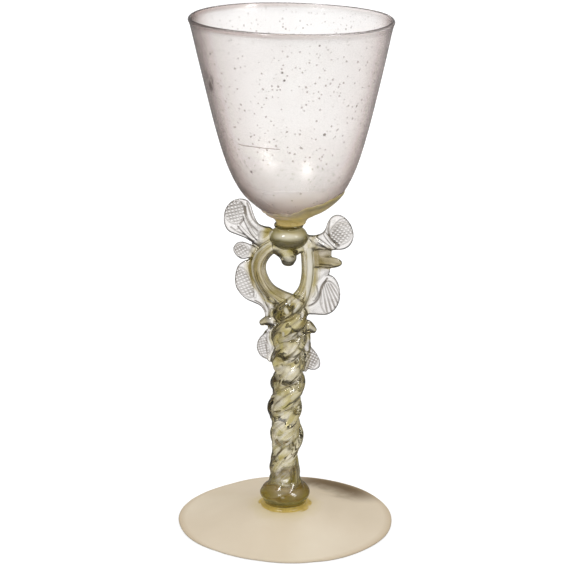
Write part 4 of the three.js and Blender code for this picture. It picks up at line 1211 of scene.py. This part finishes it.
def stem():
    """Melts the stem's glass together, and presses ribs and grids into the skin."""
    points, faces = fused(thick_parts() + [flat for flat, _ in WINGS], MELT_VOXEL)
    softness = 0.4 + 0.6 * smoothstep(points[:, 2], CROSSING - 12, CROSSING)
    points = relaxed(points, faces, MELT_ROUNDS, softness)
    looks, depth = stem_looks(points)
    points = points + normals_of(points, faces) * depth[:, None]
    points = relaxed(points, faces, RIB_ROUNDS, smoothstep(points[:, 2], CROSSING + 4, CROSSING - 2))
    facing = normals_of(points, faces)[:, 1]
    lift = sum(relief(points[:, 0], points[:, 2]) for _, relief in WINGS)
    points[:, 1] += np.sign(facing) * smoothstep(np.abs(facing), 0.5, 0.9) * lift
    pressed = np.clip(-lift / 0.3, 0, 1) ** 1.6 * smoothstep(np.abs(facing), 0.3, 0.8)
    # The wings' pressed lines are painted dark as shade
    looks["groove_shade"] = np.maximum(looks["groove_shade"], 0.95 * pressed)
    paint(piece("winged_stem", (points, faces), "stem_glass", STEM_NODES), **looks)


# Painted highlights on facets of the glass at the crossing: middle, half width, half height in mm, and slant
# in degrees
FACET_HIGHLIGHTS = [
    ((4.3, 79.9), (2.1, 1.1), 52), ((0.4, 79.4), (0.9, 1.4), 28), ((1.4, 82.4), (0.6, 1.0), 0),
    ((-1.3, 74.6), (1.2, 0.6), 24), ((3.4, 70.0), (1.3, 1.0), 20), ((-0.7, 70.6), (0.5, 1.2), 8),
]
# Spots of deep gold, given the same way
GOLD_SPOTS = [
    ((-2.6, 84.4), (3.4, 1.0), -14), ((4.2, 84.0), (1.6, 0.9), 20), ((-2.4, 77.4), (0.8, 2.0), 0),
    ((-1.5, 66.4), (1.0, 1.5), 0), ((-2.4, 48.8), (1.1, 1.3), 10), ((-1.8, 33.6), (1.2, 1.8), -30),
    ((0.6, 44.2), (2.4, 0.9), 25), ((-3.0, 59.0), (1.2, 1.2), 0),
]
# Painted highlights as whitish glints on the rope and the knop, given the same way
GLINT_HIGHLIGHTS = [
    ((-2.9, 54.8), (0.9, 1.4), 20), ((2.4, 57.3), (1.7, 0.6), 30), ((3.1, 47.9), (1.6, 0.8), 35),
    ((-1.5, 41.3), (1.3, 0.8), 15), ((2.5, 37.7), (1.3, 0.7), 40), ((-3.6, 34.2), (0.6, 1.6), 10),
    ((4.0, 33.4), (0.5, 1.8), -20), ((-2.9, 24.6), (0.7, 1.5), 20), ((0.6, 23.2), (1.5, 0.6), 20),
    ((1.0, 30.2), (1.2, 0.5), 30), ((-0.6, 14.6), (3.0, 0.4), -4), ((-0.8, 11.0), (0.8, 0.5), 0),
]
# Painted dark rings of shade round the knop: height, width and strength
KNOP_RINGS = [(8.0, 0.55, 0.55), (13.4, 0.3, 0.45), (15.2, 0.25, 0.3)]
# Lines along the strands, pressed in a little and painted dark as shade: bearing, sway, pace and seed
ROPE_LINES = [
    (-1.15, 0.3, 0.5, 1), (-0.3, 0.35, 0.37, 2), (0.55, 0.3, 0.45, 3), (1.3, 0.25, 0.4, 4),
    (2.6, 0.3, 0.5, 5),
]


def spots(places, x, z):
    """1 inside any of the slanted spots, 0 away from them."""
    total = np.zeros_like(x)
    for (cx, cz), (wide, high), slant in places:
        c, s = math.cos(math.radians(slant)), math.sin(math.radians(slant))
        u, w = c * (x - cx) + s * (z - cz), -s * (x - cx) + c * (z - cz)
        inside = (np.abs(u / wide) ** 3 + np.abs(w / high) ** 3) ** (1 / 3)
        total = np.maximum(total, smoothstep(inside, 1.15, 0.6))
    return total


def strongest(*values):
    return np.maximum.reduce(values)


def stem_looks(points):
    """Numbers that the stem's material reads at each point, and how far the skin moves out there.

    flow runs along the strands, so that streaks follow them; clear is 1 on the colourless wings;
    groove_shade is 1 in pressed lines and seams, which are painted dark as shade, milk_and_highlight where
    the glass is whitish or carries a painted highlight, deep where it is darker, partly as painted shade,
    haze where it is cloudy, gold where it is of a deep gold, and dull where it is less glossy.
    """
    x, y, z = points.T
    found = [beside(points, strand_path(side)) for side in (-1, 1)]
    left = found[0][0] < found[1][0]
    distance, run, bearing = (np.where(left, a, b) for a, b in zip(*found))
    from_ball = np.sqrt((x - BALL_X) ** 2 + y**2 + (1.4 * (z - BALL_CENTRE)) ** 2)
    on_arm = smoothstep(z, CROSSING - 1, CROSSING + 4)
    off_ball = smoothstep(z, BALL_CENTRE - 3.5, BALL_CENTRE - 5.5)
    near = smoothstep(distance, 4.6, 3.45)
    above_knop = smoothstep(z, KNOP_TOP - 2, KNOP_TOP + 1)
    on_rope = near * (1 - on_arm) * above_knop
    on_ball = smoothstep(from_ball, 7.4, 6.6)
    on_knop = smoothstep(z, 16.5, 11)
    on_drop = bump(x - 1.0, 3.6) * smoothstep(z, 92, 94) * smoothstep(z, 104, 102.5)
    on_leaf = smoothstep(x, 6, 8.5) * smoothstep(np.abs(z - 96.6), 3.2, 1.9)
    on_right_spur = smoothstep(x, 5.5, 7) * smoothstep(np.abs(z - 72.4), 4.6, 2.6)
    on_left_spur = smoothstep(-x, 5, 6.5) * smoothstep(np.abs(z - 74.4), 2.6, 1.6)
    on_web = smoothstep(x, 9, 10) * smoothstep(x, 18, 15) * smoothstep(np.abs(z - 98.6), 4.4, 3.0)
    on_band = smoothstep(beside(points, BAND_PATH)[0], 1.6, 1.15) * smoothstep(-y, 0.6, 1.2)
    from_thread = beside(points, through(raised(LEFT_THREAD), 300))[0]
    in_front = smoothstep(-y, 1.0, 2.0)

    depth, groove_shade = ribs(bearing, run, on_arm)
    seam = bump(found[0][0] - found[1][0], 0.7) * (1 - on_arm) * above_knop * smoothstep(distance, 2.6, 3.0)
    drawn = np.zeros_like(z)
    for at, sway, pace, seed in ROPE_LINES:
        broken = smoothstep(ripple(seed, 0.5 * run + 9 * left, 2 * bearing), -0.3, 0.3)
        drawn = np.maximum(drawn, bump(bearing - at - sway * np.sin(pace * run + seed), 0.15) * broken)
    depth = (depth - 0.85 * seam) * near * off_ball * above_knop - 0.12 * drawn * on_rope
    depth = depth * (1 - on_band)
    # Painted shade in the arms' grooves, the seams between the strands, the lines along them, beside the
    # left thread and on the web
    groove_shade = strongest(0.4 * groove_shade * near * off_ball, 0.65 * seam * near, 0.9 * drawn * on_rope)
    groove_shade = strongest(
        groove_shade * (1 - on_band),
        0.6 * bump(from_thread - 1.15, 0.3) * smoothstep(-y, 0.3, 1.0),
        0.22 * on_web,
    )
    for level, width, strength in KNOP_RINGS:
        bent = z - level - 0.35 * ripple(int(10 * level), 0.5 * x, 0.5 * y)
        groove_shade = np.maximum(groove_shade, 1.25 * strength * bump(bent, width) * on_knop)

    along = [2.6 * np.cos(bearing), 2.6 * np.sin(bearing), 0.36 * run + np.where(left, 0, 40)]
    flow = lerp(points * [0.45, 0.45, 0.9], np.stack(along, axis=1), near[:, None])
    flow = lerp(points * [0.25, 0.25, 1.3], flow, above_knop[:, None])

    out = np.minimum(distance, from_ball - 5.5) + 1.2 * ripple(31, 0.8 * x, 0.8 * z)
    clear = smoothstep(out, 2.8, 5.0) * smoothstep(z, 30, 50)
    filled = np.clip(on_leaf + on_right_spur + 0.7 * on_left_spur, 0, 1)
    clear = clear * (1 - 0.85 * filled) * (1 - 0.7 * on_web)

    # Whitish glass on the flat band and the left thread, a painted highlight across the ball's upper part,
    # and painted highlights on facets at the crossing
    milk_and_highlight = strongest(
        0.95 * on_ball * bump(z - BALL_CENTRE - 1.6, 1.6),
        (0.8 + 0.2 * ripple(73, 0.9 * x, 0.5 * z)) * on_band,
        0.6 * smoothstep(from_thread, 0.62, 0.4),
        0.8 * spots(FACET_HIGHLIGHTS, x, z - 1.5) * in_front,
    )
    # Partly the deeper tint of thick glass, partly painted shade: darker on the left arm than the right, and
    # on the webs, leaf and right spur
    deep = strongest(
        np.where(x < 0, 0.75, 0.5) * on_arm * near * off_ball + 0.3 * on_ball,
        0.38 * smoothstep(z, CROSSING - 8, CROSSING) * (1 - on_ball),
        0.9 * on_web,
        0.7 * on_leaf,
        0.5 * on_right_spur,
    )
    deep = np.maximum(deep * (1 - milk_and_highlight), 0.8 * on_knop)
    # Painted highlights as whitish glints on the front of the rope and the knop
    milk_and_highlight = np.maximum(milk_and_highlight, 0.55 * spots(GLINT_HIGHLIGHTS, x, z - 1.2) * smoothstep(-y, 1.5, 3) * (1 - on_arm))
    gold = strongest(
        0.75 * spots(GOLD_SPOTS, x, z - 1.5) * in_front,
        0.7 * on_knop * (1 + 0.8 * ripple(71, 0.8 * x, 0.8 * y, 1.2 * z)),
        0.35 * bump(z - KNOP_TOP - 0.6, 2.6),
        0.26 * on_ball,
        0.3 * on_drop,
    )
    haze = 0.05 * on_knop + 0.2 * on_ball + 0.15 * deep
    haze = np.maximum(haze, 0.55 * bump(z - KNOP_TOP - 2.2, 2.4))
    looks = {"flow": flow, "clear": clear, "groove_shade": groove_shade, "milk_and_highlight": milk_and_highlight, "deep": deep}
    return {**looks, "haze": haze, "gold": gold, "dull": on_knop}, depth


# Floor, light and camera


def floor():
    bpy.ops.mesh.primitive_plane_add(size=12, location=(0, 0, -0.00005))
    plane = bpy.context.object
    plane.name = "floor"
    graph = Graph(bpy.data.materials.new("floor"))
    graph.tree.nodes.clear()
    light = graph.add("LightPath")
    away = graph.vector("LENGTH", graph.add("TexCoord")["Object"])["Value"]
    seen = graph.math("MAXIMUM", light["Is Camera Ray"], light["Is Transmission Ray"])
    glow = graph.times(seen, graph.span(away, 0.1, 0.6, 0.6, 0.8))
    pale = graph.add("BsdfDiffuse", {"Color": (0.5, 0.5, 0.5, 1)})[0]
    shown = graph.add("AddShader", {0: pale, 1: graph.add("Emission", {"Strength": glow})[0]})[0]
    # Seen through glass, the floor near the goblet turns grey: painted shade
    floor_shade_near = graph.times(graph.rise(away, 65, 45), light["Is Transmission Ray"])
    mirrored = graph.minus(light["Is Glossy Ray"], light["Is Transmission Ray"])
    for share, level in ((floor_shade_near, 0.55), (mirrored, 0.22)):
        grey = graph.add("Emission", {"Color": (level, level, level, 1), "Strength": 1.0})[0]
        shown = graph.add("MixShader", {0: share, 1: shown, 2: grey})[0]
    graph.add("OutputMaterial", {"Surface": shown})
    plane.data.materials.append(graph.owner)


def world():
    """White to the eye, grey as light, and with a bright top and dark sides in reflections."""
    graph = Graph(bpy.data.worlds.new("studio"))
    graph.tree.nodes.clear()
    light = graph.add("LightPath")
    up = graph.add("SeparateXYZ", {0: graph.add("TexCoord")["Generated"]})["Z"]

    def greys(*stops):
        return graph.ramp(up, *((place, level, level, level) for place, level in stops))

    mirrored = greys((0.0, 0.25), (0.3, 0.12), (0.7, 0.15), (0.82, 1), (1, 1))
    mirrored = graph.mix(1.0, mirrored, (1.6, 1.6, 1.6), "MULTIPLY")
    colour = graph.mix(light["Is Glossy Ray"], (0.5, 0.5, 0.5), mirrored)
    colour = graph.mix(light["Is Transmission Ray"], colour, greys((0.0, 0.9), (0.12, 0.3), (0.35, 0.06)))
    colour = graph.mix(light["Is Camera Ray"], colour, (1, 1, 1))
    back = graph.add("Background", {"Color": colour, "Strength": 1.0})[0]
    graph.add("OutputWorld", {"Surface": back})
    bpy.context.scene.world = graph.owner


def place_in_scene(name, data, place):
    made = bpy.data.objects.new(name, data)
    bpy.context.scene.collection.objects.link(made)
    made.location = place
    return made


# Lamps: name, place and size in metres, and power
LAMPS = [
    ("key", (-0.55, -0.75, 1.1), (0.3, 0.36), 7),
    ("fill", (0.8, -0.6, 0.8), (0.25, 0.4), 4),
    ("back", (0.1, 0.9, 0.9), (0.5, 0.3), 2.5),
]
LAMP_TARGET = Vector((0, 0, 0.09))
CAMERA_PLACE = (0, -0.6169, 0.2788)
CAMERA_DOWN = 17.15
CAMERA_LENS = 117.6
BOUNCES = 24


def lights():
    for name, place, size, power in LAMPS:
        data = bpy.data.lights.new(name, "AREA")
        data.shape = "RECTANGLE"
        data.size, data.size_y = size
        data.energy = power
        aim = LAMP_TARGET - Vector(place)
        place_in_scene(name, data, place).rotation_euler = aim.to_track_quat("-Z", "Y").to_euler()


def camera():
    data = bpy.data.cameras.new("camera")
    data.lens = CAMERA_LENS
    data.sensor_width = 36
    made = place_in_scene("camera", data, CAMERA_PLACE)
    made.rotation_euler = (math.radians(90 - CAMERA_DOWN), 0, 0)
    bpy.context.scene.camera = made


foot()
pontil()
foot_fillet()
stem()
bowl()
neck()
bowl_resin()
floor()
world()
lights()
camera()

bpy.context.scene.view_settings.view_transform = "Standard"
bpy.context.scene.cycles.max_bounces = BOUNCES
bpy.context.scene.cycles.transmission_bounces = BOUNCES
